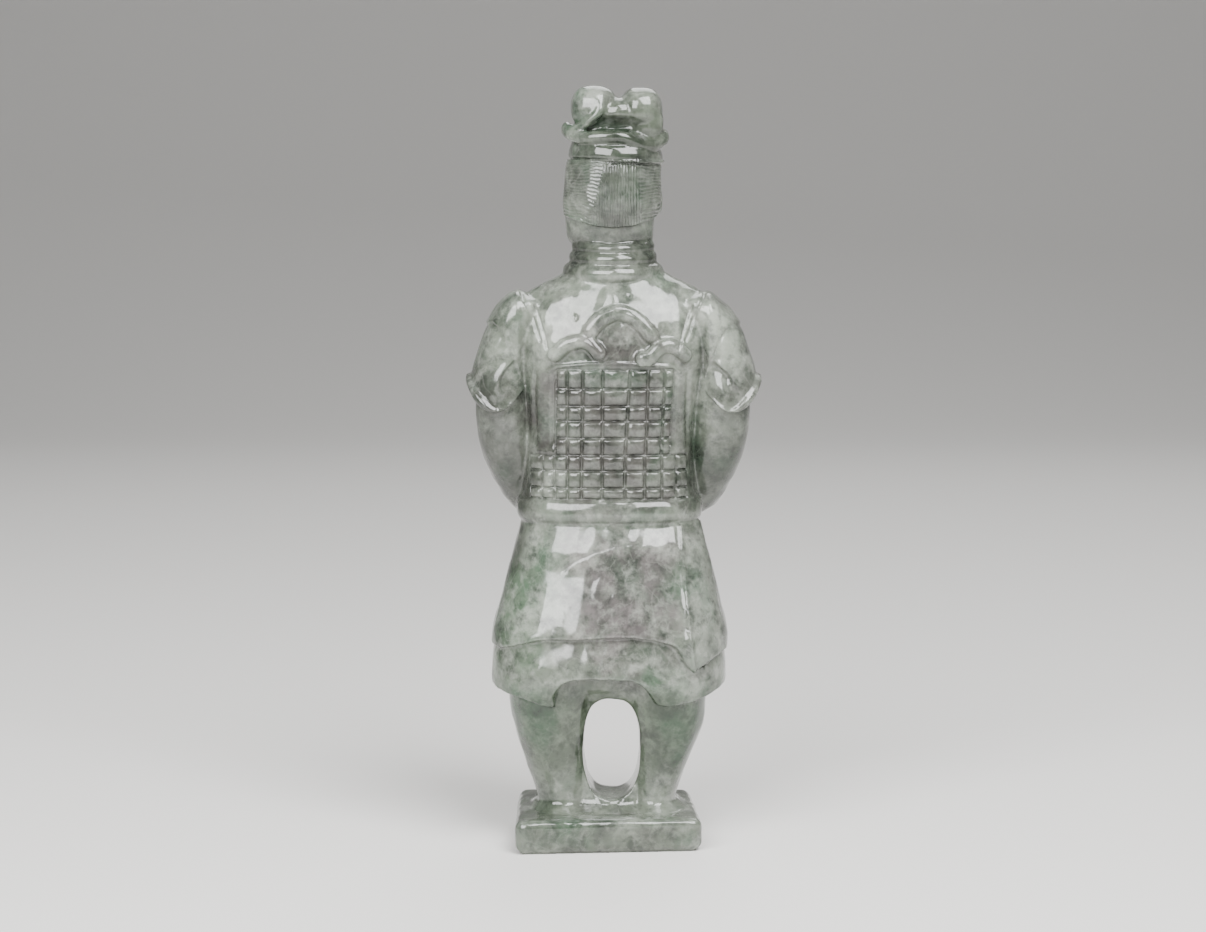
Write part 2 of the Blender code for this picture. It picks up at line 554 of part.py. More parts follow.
def gap_rings(reach, levels=31, around=64):
    """The oval gap between the legs as rings along y, flared at both ends for a rounded rim."""
    foot = figure_point((0, 0, LEG_GAP_FOOT))[2]
    angles = np.linspace(0, 2 * math.pi, around, endpoint=False)
    across, along = oval(angles, LEG_GAP_SQUARENESS)
    rings = []
    for y in np.linspace(-reach, reach, levels):
        share = abs(y) / reach
        flare = LEG_GAP_RIM * (1 - math.sqrt(1 - min(share, 0.98) ** 4))
        x = LEG_GAP_CENTRE * UNIT + (LEG_GAP_WIDTH / 2 + flare) * across
        height = foot + LEG_GAP_HEIGHT / 2 + (LEG_GAP_HEIGHT / 2 + flare) * along
        drawn_height = (height - PLINTH_HEIGHT) / UNIT + DRAWN_FOOT
        rings.append(np.stack([x / UNIT, np.full(around, y / UNIT), drawn_height], axis=-1))
    return np.array(rings)


def make_legs():
    """Trouser legs and the stone that joins them, pierced by the gap between the legs."""
    legs = [upright("leg_left", LEG_LEFT), upright("leg_right", LEG_RIGHT), upright("leg_web", LEG_WEB)]
    gap = skin_rings("leg_gap", gap_rings(reach=LEG_GAP_REACH * UNIT))
    pierced = []
    for leg in legs:
        cut = leg.modifiers.new("gap", "BOOLEAN")
        cut.operation = "DIFFERENCE"
        cut.solver = "EXACT"
        cut.object = gap
        pierced.append(mesh_copy(leg.name, leg))
    bpy.data.objects.remove(gap)
    return pierced


def make_boots():
    boots = []
    for side, centre in zip(("left", "right"), BOOTS_X):
        rows = [(centre, y, DRAWN_FOOT, half, top - DRAWN_FOOT) for y, half, top in BOOT]
        boots.append(limb(f"boot_{side}", rows, reference=(0, 0, 1)))
    return boots


def hem_of(back, front):
    """Height of a hem for x and side, from its tables for the back and the front."""
    back, front = np.array(back), np.array(front)

    def height(x, side):
        return np.where(side >= 0, np.interp(x, *back.T), np.interp(x, *front.T))

    return height


def make_robes():
    return [
        upright("lower_robe", LOWER_ROBE, around=160, hem=hem_of(LOWER_HEM_BACK, LOWER_HEM_FRONT)),
        upright("upper_robe", UPPER_ROBE, around=160, hem=hem_of(UPPER_HEM_BACK, UPPER_HEM_FRONT)),
        upright("belt", BELT, levels=14),
    ]


def sleeve_hem(x, side):
    return SLEEVE_HEM_SIDE - np.where(side > 0, SLEEVE_HEM_DROP_BACK, SLEEVE_HEM_DROP_FRONT) * side**2


def make_arms():
    pieces = []
    for side, flip, arm_lean, sleeve_lean in (("left", 1, 0.0, 0.0), ("right", -1, ARM_LEAN, SLEEVE_LEAN)):
        arm = [(flip * x + arm_lean, *rest) for x, *rest in ARM]
        cuff = [(flip * x, *rest) for x, *rest in CUFF]
        bridge = [(height, flip * x, *rest) for height, x, *rest in ARM_BRIDGE]
        rings = upright_rings(SLEEVE, 30, 64, sleeve_hem) * (flip, 1, 1)
        rings[..., 0] += sleeve_lean * ramp(SLEEVE[0][0] - rings[..., 2], 0, SLEEVE_LEAN_DROP)
        radius = drawn(SLEEVE_HEM_ROLL / 2)
        roll = [(*p, radius, radius) for p in np.vstack([rings[-3], rings[-3][:2]])]
        pieces.append(limb(f"arm_{side}", arm, levels=40, around=36))
        pieces.append(limb(f"cuff_{side}", cuff, levels=8, around=36))
        pieces.append(upright(f"bridge_{side}", bridge, levels=16, around=32))
        pieces.append(skin_rings(f"sleeve_{side}", rings))
        pieces.append(limb(f"sleeve_hem_{side}", roll, levels=97, around=10, reference=(0, 0, 1)))
    return pieces


def make_hands():
    pieces = [ball(f"hand_{k}", *sizes) for k, sizes in enumerate(HAND_BALLS)]
    for k in range(FINGER_COUNT):
        ends = [np.array(end) + k * np.array(FINGER_STEP) for end in (FINGER_START, FINGER_END)]
        middle = (ends[0] + ends[1]) / 2 + (0, -0.8, 0)
        rows = [(*p, FINGER_RADIUS, FINGER_RADIUS) for p in (ends[0], middle, ends[1])]
        pieces.append(limb(f"finger_{k}", rows, levels=10, around=14, reference=(0, 0, 1)))
    pieces.append(limb("thumb", [(*row, row[3]) for row in THUMB], levels=10, around=14, reference=(0, 0, 1)))
    return pieces


def make_scarf():
    rolls = []
    turns = np.linspace(0, 2 * math.pi, 50)
    for k, (height, half_width, half_depth, share) in enumerate(SCARF):
        radius = drawn(COLLAR_ROLL / 2) * share
        rows = [
            (
                SCARF_CENTRE[0] + half_width * math.cos(a),
                SCARF_CENTRE[1] + half_depth * math.sin(a),
                height - SCARF_SAG * abs(math.sin(a)),
                radius,
                radius,
            )
            for a in turns
        ]
        rolls.append(limb(f"scarf_{k}", rows, levels=99, around=18, reference=(0, 0, 1)))
    return rolls


def make_head():
    pieces = [upright("head", HEAD)]
    band = upright_rings(HEADBAND, 12, 96)
    band[..., 2] += HEADBAND_SLOPE * band[..., 0]
    pieces.append(skin_rings("headband", band))
    for k, (centre, half_sizes) in enumerate(FACE_BALLS):
        pieces.append(ball(f"face_{k}", (centre[0] + FACE_CENTRE, *centre[1:]), half_sizes))
    features = {
        "nose": NOSE,
        "brow_left": BROW,
        "brow_right": mirrored(BROW),
        "upper_lip": UPPER_LIP,
        "lower_lip": LOWER_LIP,
    }
    for name, rows in features.items():
        line = [(x + FACE_CENTRE, y, z, r, r) for x, y, z, r in rows]
        reference = (1, 0, 0) if name == "nose" else (0, 0, 1)
        pieces.append(limb(name, line, levels=12, around=14, reference=reference))
    return pieces


def make_cap():
    pieces = [ball(f"cap_{k}", *sizes, CAP_SQUARENESS) for k, sizes in enumerate(CAP_BALLS)]
    pieces.append(limb("cap_roll", CAP_ROLL + CAP_ROLL[:2], levels=90, around=16, reference=(0, 0, 1)))
    pieces.append(limb("cap_fold", CAP_FOLD, levels=24, around=16, reference=(0, 1, 0)))
    return pieces


def torso_depth(x, height, side):
    """y of the torso's skin, on the back for side 1 and on the front for side -1."""
    fine = through(TORSO, 120)
    fine = fine[np.argsort(fine[:, 0])]
    centre_x, half_width, centre_y, front, back, squareness = (
        np.interp(height, fine[:, 0], fine[:, k]) for k in range(1, 7)
    )
    share = np.clip(np.abs((x - centre_x) / half_width), 0, 0.999)
    reach = (1 - share**squareness) ** (1 / squareness)
    return centre_y + (back if side > 0 else -front) * reach


def make_ribbons():
    """Ribbon bands that lie on the upper back, and their plainer match on the chest."""
    radius = drawn(RIBBON_WIDTH / 2)
    bands = {
        "ribbon_left": (RIBBON_LEFT, 1.0, 1),
        "ribbon_arch": (RIBBON_ARCH, ARCH_SHARE, 1),
        "ribbon_right": (RIBBON_RIGHT, 1.0, 1),
        "ribbon_chest_left": (RIBBON_LEFT, 0.9, -1),
        "ribbon_chest_right": (mirrored(RIBBON_LEFT), 0.9, -1),
    }
    pieces = []
    for name, (points, share, side) in bands.items():
        lift = RIBBON_LIFT * radius * side
        rise = CHEST_RIBBON_RISE if side < 0 else 0.0
        radii = (radius * share, RIBBON_FLATNESS * radius * share)
        rows = [(x, torso_depth(x, height, side) + lift, height + rise, *radii) for x, height in points]
        pieces.append(limb(name, rows, levels=30, around=18, reference=(0, 1, 0)))
    return pieces


def fused(name, pieces):
    """One skin over all the pieces, sampled evenly and softened."""
    points, faces = [], []
    for piece in pieces:
        start = len(points)
        points += [piece.matrix_world @ vertex.co for vertex in piece.data.vertices]
        faces += [tuple(start + index for index in face.vertices) for face in piece.data.polygons]
    mesh = bpy.data.meshes.new(name)
    mesh.from_pydata(points, [], faces)
    for piece in pieces:
        bpy.data.objects.remove(piece)
    body = bpy.data.objects.new(name, mesh)
    bpy.context.scene.collection.objects.link(body)
    skin = body.modifiers.new("one skin", "REMESH")
    skin.mode = "VOXEL"
    skin.voxel_size = SKIN_GRAIN
    soften = body.modifiers.new("softened", "SMOOTH")
    soften.factor = 0.5
    soften.iterations = SKIN_SOFTENING
    return mesh_copy(name, body)


def keep_outer_skin(body):
    """Drops the small closed surfaces that the fusing leaves around pockets inside the stone."""
    skin = bmesh.new()
    skin.from_mesh(body.data)
    left = set(skin.verts)
    shells = []
    while left:
        frontier = [left.pop()]
        shell = set(frontier)
        while frontier:
            vertex = frontier.pop()
            near = {edge.other_vert(vertex) for edge in vertex.link_edges} - shell
            shell |= near
            frontier += near
        left -= shell
        shells.append(shell)
    shells.sort(key=len)
    for shell in shells[:-1]:
        bmesh.ops.delete(skin, geom=list(shell), context="VERTS")
    skin.to_mesh(body.data)
    skin.free()


def line_distance(x, z, line):
    """Distance from each point to a line of points, and the side: above a line that runs to -x."""
    best = np.full(len(x), np.inf)
    side = np.zeros(len(x))
    for (x0, z0), (x1, z1) in zip(line, line[1:]):
        dx, dz = x1 - x0, z1 - z0
        share = np.clip(((x - x0) * dx + (z - z0) * dz) / (dx * dx + dz * dz), 0, 1)
        off_x, off_z = x - x0 - share * dx, z - z0 - share * dz
        distance = np.hypot(off_x, off_z)
        nearer = distance < best
        best = np.where(nearer, distance, best)
        side = np.where(nearer, np.sign(dz * off_x - dx * off_z), side)
    return best, side


def seam(distance):
    return -drawn(SEAM_DEPTH) * (1 - ramp(distance, 0, drawn(SEAM_WIDTH)))


def plates(x, z, seams_top, seams_foot, rows):
    """Relief of a panel of plates between seams and rows: 0 in a groove, 1 on a plate."""
    down = (rows[0] - z) / (rows[0] - rows[-1])
    distance = np.full(len(x), np.inf)
    for top, foot in zip(seams_top, seams_foot):
        distance = np.minimum(distance, np.abs(x - top - (foot - top) * down))
    for row in rows:
        distance = np.minimum(distance, np.abs(z - row))
    return ramp(distance, 0, drawn(PLATE_GROOVE_WIDTH))


def inside(x, z, seams_top, seams_foot, rows):
    """True for points within a panel."""
    down = (rows[0] - z) / (rows[0] - rows[-1])
    low = seams_top[-1] + (seams_foot[-1] - seams_top[-1]) * down
    high = seams_top[0] + (seams_foot[0] - seams_top[0]) * down
    return (x > low) & (x < high) & (z > rows[-1]) & (z < rows[0])


def panel_relief(x, z, on_side, seams_top, seams_foot, rows):
    rise, depth = drawn(PANEL_RISE), drawn(PLATE_GROOVE_DEPTH)
    within = on_side & inside(x, z, seams_top, seams_foot, rows)
    return np.where(within, rise - depth + depth * plates(x, z, seams_top, seams_foot, rows), 0)


def apron_relief(x, z, front):
    """The pointed apron of plates below the belt in front."""
    half = APRON_HALF_WIDTH * np.clip((z - APRON_TIP) / (APRON_TOP - APRON_TIP), 0, 1) ** 0.6
    within = front & (np.abs(x) < half) & (z < APRON_TOP)
    edge = np.minimum(half - np.abs(x), np.abs(z - APRON_TIP))
    rows = np.min([np.abs(z - row) for row in APRON_ROWS], axis=0)
    seams = np.min([np.abs(x - seam) for seam in FRONT_SEAMS], axis=0)
    depth = drawn(PLATE_GROOVE_DEPTH)
    grooves = 1 - ramp(np.minimum(rows, seams), 0, drawn(PLATE_GROOVE_WIDTH))
    raised = drawn(APRON_RISE) * ramp(edge, 0, drawn(APRON_RISE)) - depth * grooves
    return np.where(within, np.maximum(raised, 0), 0)


def between(value, limits):
    return (value > limits[0]) & (value < limits[1])


def relief(x, y, z, normal_y):
    """How far each drawn point of the skin moves outwards, in the units of the drawing."""
    back, front = normal_y > FACING, normal_y < -FACING
    lift = np.zeros(len(x))
    trunk = (np.abs(x) < TRUNK_HALF_WIDTH) & between(z, TRUNK_HEIGHTS)
    upper_back = back & trunk & between(y, BACK_DEPTHS)
    lift += panel_relief(x, z, upper_back, BACK_SEAMS_TOP, BACK_SEAMS_FOOT, BACK_ROWS)
    waist = back & trunk & between(y, WAIST_DEPTHS)
    lift += panel_relief(x, z, waist, WAIST_SEAMS, WAIST_SEAMS, WAIST_ROWS)
    chest = front & trunk & between(y, FRONT_DEPTHS)
    lift += panel_relief(x, z, chest, FRONT_SEAMS, FRONT_SEAMS, FRONT_ROWS)
    lift += apron_relief(x, z, front & between(z, APRON_HEIGHTS) & between(y, APRON_DEPTHS))
    shoulders = between(z, SHOULDER_HEIGHTS)
    for across in (x, 2 * TRUNK_CENTRE - x):
        for line in (STRAP_OUTER, STRAP_INNER):
            distance, _ = line_distance(across, z, line)
            lift += np.where(shoulders & (np.abs(normal_y) > FACING / 2), seam(distance), 0)
        distance, side = line_distance(across, z, GUARD_EDGE)
        raised = drawn(GUARD_RISE) * ramp(distance * side, -EDGE, EDGE) * ramp(across, *GUARD_FADE)
        lift += np.where(shoulders, raised, 0)
    distance, side = line_distance(x, z, FLAP_EDGE)
    flap = back & between(z, FLAP_HEIGHTS) & (x < FLAP_START)
    raised = drawn(FLAP_RISE) * ramp(distance * side, -EDGE, EDGE) * (1 - ramp(-x, *FLAP_FADE))
    lift += np.where(flap, raised, 0)
    distance, side = line_distance(x, z, HAIR_EDGE)
    hair = drawn(HAIR_RISE) * ramp(distance * side, -EDGE, EDGE) * ramp(y, *HAIR_FADE)
    lift += np.where(between(z, HAIR_HEIGHTS), hair, 0)
    return lift


def carve(body):
    """Moves the skin's points by the relief, and lays the plinth's underside flat on the floor."""
    count = len(body.data.vertices)
    points, normals = np.empty(count * 3), np.empty(count * 3)
    body.data.vertices.foreach_get("co", points)
    body.data.vertices.foreach_get("normal", normals)
    points, normals = points.reshape(-1, 3), normals.reshape(-1, 3)
    x, y = points[:, 0] / UNIT, points[:, 1] / UNIT
    z = (points[:, 2] - PLINTH_HEIGHT) / UNIT + DRAWN_FOOT
    points += normals * (relief(x, y, z, normals[:, 1]) * UNIT)[:, None]
    points[:, 2] = np.where(points[:, 2] < SKIN_GRAIN, 0, points[:, 2])
    body.data.vertices.foreach_set("co", points.ravel())
    body.data.update()


def jadeite():
    """Polished mottled stone, here in its mean colour."""
    material = bpy.data.materials.new("jadeite")
    material.use_nodes = True
    shader = material.node_tree.nodes["Principled BSDF"]
    shader.inputs["Base Color"].default_value = (0.36, 0.42, 0.37, 1.0)
    shader.inputs["Roughness"].default_value = 0.18
    shader.inputs["Metallic"].default_value = 0.0
    return material


def thin(body):
    """Thins the skin to its facets, and keeps more of them on the face, cap and hands."""
    points = np.array([vertex.co for vertex in body.data.vertices]) / UNIT
    depths, heights = points[:, 1], points[:, 2]
    face = between(depths, FACE_DEPTHS) & between(heights, FACE_HEIGHTS)
    cap = heights > CAP_FOOT
    hands = between(depths, HAND_DEPTHS) & between(heights, HAND_HEIGHTS)
    ease = body.vertex_groups.new(name="ease")
    for where, weight in ((~(face | cap | hands), 1.0), (cap | hands, CAP_EASE), (face, FACE_EASE)):
        ease.add([int(index) for index in np.flatnonzero(where)], weight, "REPLACE")
    facets = body.modifiers.new("facets", "DECIMATE")
    facets.vertex_group = ease.name
    facets.vertex_group_factor = EASE_FACTOR
    facets.ratio = SKIN_TRIANGLES / (2 * len(body.data.polygons))
    facets.use_collapse_triangulate = True


def main():
    for old in list(bpy.data.objects):
        bpy.data.objects.remove(old)
    pieces = [make_plinth(), upright("torso", TORSO)]
    for make_pieces in (make_legs, make_boots, make_robes, make_arms, make_hands):
        pieces += make_pieces()
    for make_pieces in (make_scarf, make_head, make_cap, make_ribbons):
        pieces += make_pieces()
    soldier = fused("soldier_figurine", pieces)
    keep_outer_skin(soldier)
    carve(soldier)
    thin(soldier)
    soldier.data.materials.clear()
    soldier.data.materials.append(jadeite())
    home = bpy.data.collections.new("jadeite_soldier_figurine")
    bpy.context.scene.collection.children.link(home)
    bpy.context.scene.collection.objects.unlink(soldier)
    home.objects.link(soldier)


main()
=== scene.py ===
"""Jadeite soldier figurine: how it looks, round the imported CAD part.

The figure faces -Y and is seen from behind, from +Y. Its masses are the same lofts, limbs and
balls as in the part's source, fused to a finer skin. The hair, the pillowed plates, the folds and
the creases are then carved into that skin, and it wears polished mottled jadeite.
"""

import contextlib
import math

import bmesh
import bpy
import numpy as np
from mathutils import Matrix, Vector


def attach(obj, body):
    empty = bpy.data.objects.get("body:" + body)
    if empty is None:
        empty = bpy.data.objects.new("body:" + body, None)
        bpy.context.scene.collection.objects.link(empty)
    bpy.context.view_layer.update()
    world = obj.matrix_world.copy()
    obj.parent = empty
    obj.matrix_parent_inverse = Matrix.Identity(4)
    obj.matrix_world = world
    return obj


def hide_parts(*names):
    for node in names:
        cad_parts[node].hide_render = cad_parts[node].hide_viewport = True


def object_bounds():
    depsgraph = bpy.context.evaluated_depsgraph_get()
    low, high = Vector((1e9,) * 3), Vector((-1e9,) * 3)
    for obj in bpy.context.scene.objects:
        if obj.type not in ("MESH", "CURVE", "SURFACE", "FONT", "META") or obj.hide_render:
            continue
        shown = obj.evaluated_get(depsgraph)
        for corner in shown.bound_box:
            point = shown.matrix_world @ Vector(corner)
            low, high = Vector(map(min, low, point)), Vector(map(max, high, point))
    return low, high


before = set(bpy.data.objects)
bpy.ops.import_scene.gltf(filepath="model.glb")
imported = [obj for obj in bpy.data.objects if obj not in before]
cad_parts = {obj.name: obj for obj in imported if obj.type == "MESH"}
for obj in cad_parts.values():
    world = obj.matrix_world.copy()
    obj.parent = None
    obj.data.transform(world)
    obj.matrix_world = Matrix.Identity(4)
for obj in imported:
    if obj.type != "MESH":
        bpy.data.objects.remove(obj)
cad_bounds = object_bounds()

# Driving sizes, in metres.
FIGURE_HEIGHT = 0.2411
PLINTH_WIDTH = 0.0622
PLINTH_DEPTH = 0.0520
PLINTH_HEIGHT = 0.0115
PLINTH_ROUNDING = 0.0032
PLINTH_ROUNDING_STEPS = 5
PLINTH_TAPER = 0.0030
PLINTH_SKEW_TOP = 0.0025
PLINTH_SKEW_FOOT = 0.0060
LEG_GAP_WIDTH = 0.0188
LEG_GAP_HEIGHT = 0.0350
LEG_GAP_RIM = 0.0040
RIBBON_WIDTH = 0.0049
COLLAR_ROLL = 0.0060
PLATE_GROOVE_WIDTH = 0.0010
PLATE_GROOVE_DEPTH = 0.0008
HEM_THICKNESS = 0.0030
SLEEVE_HEM_ROLL = 0.0030
PANEL_RISE = 0.0006
APRON_RISE = 0.0012
GUARD_RISE = 0.0008
FLAP_RISE = 0.0010
HAIR_RISE = 0.0011
SEAM_WIDTH = 0.00075
SEAM_DEPTH = 0.00065
PLINTH_CENTRE_X = 0.0007

# The tables below are a drawing of the figure in its own units, which come out close to
# millimetres. UNIT and figure_point(), after them, fit the drawing to the sizes above.

# Standing forms: height, centre x, half width, centre y, front depth, back depth, squareness.
TORSO = (
    (196.0, -1.2, 12.0, 0.5, 9.5, 10.5, 2.0),
    (191.0, -1.2, 14.5, 0.5, 10.0, 11.5, 2.0),
    (188.5, -1.2, 18.5, 0.5, 11.0, 12.6, 2.0),
    (186.0, -1.2, 23.8, 0.4, 11.8, 13.6, 2.1),
    (183.0, -1.1, 29.0, 0.2, 13.0, 14.9, 2.2),
    (179.0, -1.0, 32.4, 0.0, 14.6, 16.6, 2.3),
    (173.0, -0.9, 33.6, 0.0, 16.8, 18.6, 2.4),
    (165.0, -0.6, 32.6, 0.0, 18.4, 19.8, 2.5),
    (155.0, -0.3, 30.3, 0.0, 19.2, 19.8, 2.6),
    (144.0, 0.1, 28.6, 0.0, 19.2, 19.1, 2.7),
    (132.0, 0.5, 28.2, 0.0, 18.8, 18.4, 2.7),
    (122.0, 0.6, 28.9, 0.0, 18.2, 18.0, 2.7),
    (113.0, 0.5, 29.8, 0.0, 17.6, 17.8, 2.7),
    (104.0, 0.4, 29.6, 0.0, 17.0, 17.4, 2.7),
)
BELT = (
    (115.3, 0.5, 29.4, 0.0, 17.8, 17.8, 2.7),
    (114.6, 0.5, 30.3, 0.0, 18.7, 18.8, 2.7),
    (112.8, 0.5, 30.9, 0.0, 19.4, 19.6, 2.7),
    (110.0, 0.5, 31.0, 0.0, 19.6, 19.8, 2.7),
    (108.4, 0.5, 30.6, 0.0, 19.2, 19.3, 2.7),
    (107.4, 0.5, 29.8, 0.0, 18.2, 18.2, 2.7),
)
UPPER_ROBE = (
    (109.0, 0.3, 29.6, 0.0, 17.8, 18.2, 2.6),
    (106.0, 0.3, 30.0, 0.0, 18.2, 18.6, 2.6),
    (103.0, 0.2, 30.8, 0.0, 19.0, 19.9, 2.6),
    (99.0, 0.2, 32.0, 0.0, 20.1, 21.2, 2.6),
    (92.0, 0.1, 33.9, 0.0, 21.2, 21.9, 2.6),
    (85.0, 0.1, 35.7, 0.0, 22.6, 23.2, 2.6),
    (78.0, 0.2, 37.4, 0.0, 24.0, 24.7, 2.7),
    (73.0, 0.3, 38.8, 0.0, 24.9, 25.7, 2.7),
    (69.0, 0.4, 39.6, 0.0, 25.4, 26.3, 2.8),
    (64.0, 0.5, 39.8, 0.0, 25.8, 26.8, 2.8),
    (56.0, 0.5, 39.8, 0.0, 25.9, 27.0, 2.8),
)
LOWER_ROBE = (
    (100.0, 0.5, 29.0, 0.0, 17.4, 18.0, 2.6),
    (78.0, 0.7, 35.0, 0.0, 21.8, 22.2, 2.6),
    (68.0, 0.7, 38.0, 0.0, 23.4, 23.9, 2.6),
    (63.0, 0.7, 38.9, 0.0, 24.2, 24.9, 2.6),
    (58.0, 0.7, 39.3, 0.0, 24.8, 25.8, 2.6),
    (52.0, 0.9, 39.2, 0.0, 25.0, 26.2, 2.6),
    (48.6, 1.2, 36.8, 0.0, 24.6, 25.7, 2.6),
    (46.4, 1.4, 33.4, 0.0, 23.6, 24.8, 2.5),
    (44.0, 1.4, 31.4, 0.0, 22.6, 23.6, 2.5),
)
# How many finer rows stand for each row of a form, and how many for the torso where ribbons lie on it.
FINE_ROWS = 8
TORSO_FINE_ROWS = 120
# The share of the torso's half width past which its depth stays the same.
TORSO_SIDE = 0.999
# Rings that round a limb's ends, and how near welded points are, in metres.
END_STEPS = 5
WELD = 1e-6
# How often a hem's heights are taken again from the outline that they shape, and how far the
# hollow under a hem narrows inwards.
HEM_PASSES = 6
HEM_HOLLOW = 0.08
# The foot of each robe: height against x, along the back and along the front.
UPPER_HEM_BACK = (
    (-40.0, 65.0), (-37.8, 64.1), (-35.3, 63.5), (-32.0, 62.1), (-28.7, 60.3), (-26.4, 59.9),
    (-24.5, 62.5), (-23.1, 65.8), (-21.7, 67.6), (-18.5, 68.6), (-14.0, 69.7), (-7.6, 70.6),
    (1.5, 70.4), (10.5, 69.9), (24.2, 69.5), (28.8, 68.3), (33.5, 66.8), (37.8, 65.6), (40.0, 66.0),
)
UPPER_HEM_FRONT = (
    (-40.0, 65.0), (-30.0, 66.0), (-14.0, 67.6), (4.0, 68.2), (7.5, 66.0), (10.0, 60.5),
    (13.0, 60.5), (22.0, 64.6), (32.0, 66.0), (40.0, 66.0),
)
LOWER_HEM_BACK = (
    (-40.0, 53.0), (-35.5, 51.2), (-30.7, 49.3), (-26.0, 48.0), (-22.3, 47.2), (-18.6, 47.1),
    (-16.3, 47.9), (-14.5, 49.8), (-12.7, 52.7), (-10.4, 54.8), (-6.7, 56.2), (-0.4, 56.5),
    (6.9, 56.7), (13.3, 56.3), (16.9, 54.7), (19.0, 52.2), (20.4, 49.2), (22.0, 46.8), (24.8, 47.6),
    (28.9, 49.3), (33.6, 50.3), (37.9, 51.4), (40.0, 52.6),
)
LOWER_HEM_FRONT = (
    (-40.0, 53.0), (-30.0, 49.6), (-19.0, 47.6), (-15.5, 50.0), (-11.0, 56.0), (0.0, 57.4),
    (11.0, 56.0), (15.5, 50.0), (19.0, 47.6), (30.0, 49.6), (40.0, 52.6),
)
# height, centre x and half width of the left leg and of the right one, centre y, front depth,
# back depth, squareness
LEGS = (
    (64.0, 16.0, 17.0, -15.0, 17.0, -1.0, 18.0, 21.0, 2.6),
    (54.0, 17.8, 16.4, -17.0, 15.6, -1.0, 18.0, 21.4, 2.6),
    (46.0, 19.4, 14.9, -18.0, 14.0, -1.2, 17.0, 20.2, 2.6),
    (39.0, 19.4, 13.5, -18.2, 13.1, -1.4, 15.8, 18.6, 2.6),
    (34.0, 19.0, 12.7, -17.6, 12.0, -1.6, 15.0, 17.4, 2.6),
    (25.6, 17.9, 11.1, -16.2, 10.0, -1.8, 13.6, 15.2, 2.6),
    (17.4, 16.6, 9.6, -15.0, 8.2, -2.0, 12.6, 13.6, 2.5),
    (13.0, 16.2, 8.8, -14.6, 7.4, -2.0, 12.6, 13.4, 2.4),
    (11.0, 16.0, 9.6, -14.8, 8.2, -2.0, 13.6, 14.6, 2.3),
    (9.4, 16.0, 12.0, -15.0, 11.0, -2.0, 15.6, 17.2, 2.3),
    (6.0, 16.0, 12.0, -15.0, 11.0, -2.0, 15.6, 17.2, 2.3),
)
# The stone between the legs, above and below the gap, in the columns of the torso's rows.
LEG_WEB = (
    (62.0, 0.4, 20.0, -1.0, 17.6, 21.4, 3.0),
    (54.0, 0.4, 19.0, -1.1, 17.0, 20.4, 3.0),
    (49.0, 0.4, 18.0, -1.2, 15.6, 17.4, 3.0),
    (42.0, 0.4, 15.0, -1.4, 13.6, 13.8, 3.0),
    (34.0, 0.4, 14.0, -1.6, 12.6, 12.6, 3.0),
    (24.0, 0.4, 13.4, -1.8, 11.8, 12.4, 3.0),
    (15.0, 0.4, 13.0, -2.0, 11.0, 12.0, 3.0),
    (11.5, 0.4, 13.0, -2.0, 11.6, 12.8, 3.0),
    (9.4, 0.4, 14.0, -2.0, 14.0, 15.8, 3.0),
    (6.0, 0.4, 14.0, -2.0, 14.0, 15.8, 3.0),
)
LEG_GAP_FOOT = 13.2
LEG_GAP_CENTRE = -0.2
LEG_GAP_SQUARENESS = 2.6
LEG_GAP_REACH = 24.0
# The share of the reach past which the gap's rim flares no more.
LEG_GAP_FLARE_END = 0.98

# x, y, height, radius across, radius through; these are for the +X side.
ARM = (
    (32.4, 1.0, 170.0, 7.6, 8.6),
    (34.6, 1.4, 159.0, 9.2, 10.0),
    (35.6, 1.5, 149.0, 9.5, 10.3),
    (35.3, 1.2, 140.5, 9.6, 10.3),
    (34.1, 0.4, 132.0, 9.4, 10.0),
    (30.6, -3.6, 123.4, 9.3, 9.3),
    (26.2, -10.2, 116.0, 8.9, 8.7),
    (17.8, -16.8, 114.8, 7.6, 7.8),
    (11.5, -20.8, 116.6, 6.2, 6.6),
)
CUFF = ((13.8, -19.4, 116.2, 7.6, 7.9), (12.2, -20.6, 116.6, 8.2, 8.4), (10.8, -21.6, 116.9, 7.4, 7.6))
# The sleeve for the +X side, in the columns of the torso's rows.
SLEEVE = (
    (183.2, 29.8, 0.9, 0.5, 4.5, 5.5, 2.0),
    (182.4, 30.2, 2.8, 0.6, 8.0, 9.2, 2.1),
    (181.3, 29.0, 5.2, 0.7, 10.2, 11.8, 2.1),
    (179.8, 28.8, 7.0, 0.8, 11.4, 13.0, 2.2),
    (177.4, 29.9, 8.2, 1.0, 12.2, 13.4, 2.2),
    (171.6, 32.4, 9.0, 1.2, 12.4, 13.2, 2.2),
    (164.0, 35.2, 9.0, 1.4, 12.2, 12.8, 2.2),
    (157.0, 36.8, 9.5, 1.6, 12.0, 12.6, 2.2),
    (151.0, 37.4, 9.9, 1.8, 12.0, 12.6, 2.2),
    (142.0, 37.6, 9.6, 1.8, 11.8, 12.4, 2.2),
)
SLEEVE_HEM_SIDE = 154.4
SLEEVE_HEM_DROP_BACK = 10.2
SLEEVE_HEM_DROP_FRONT = 6.1
SLEEVE_HEM_POINT = 0.85
SLEEVE_ROLL_INNER = 0.30
SLEEVE_ROLL_OUTER = 1.1
SLEEVE_ROLL_FADE = (-0.2, 0.6)
SLEEVE_LEAN = -1.8
SLEEVE_LEAN_DROP = 14.0
ARM_LEAN = -1.2
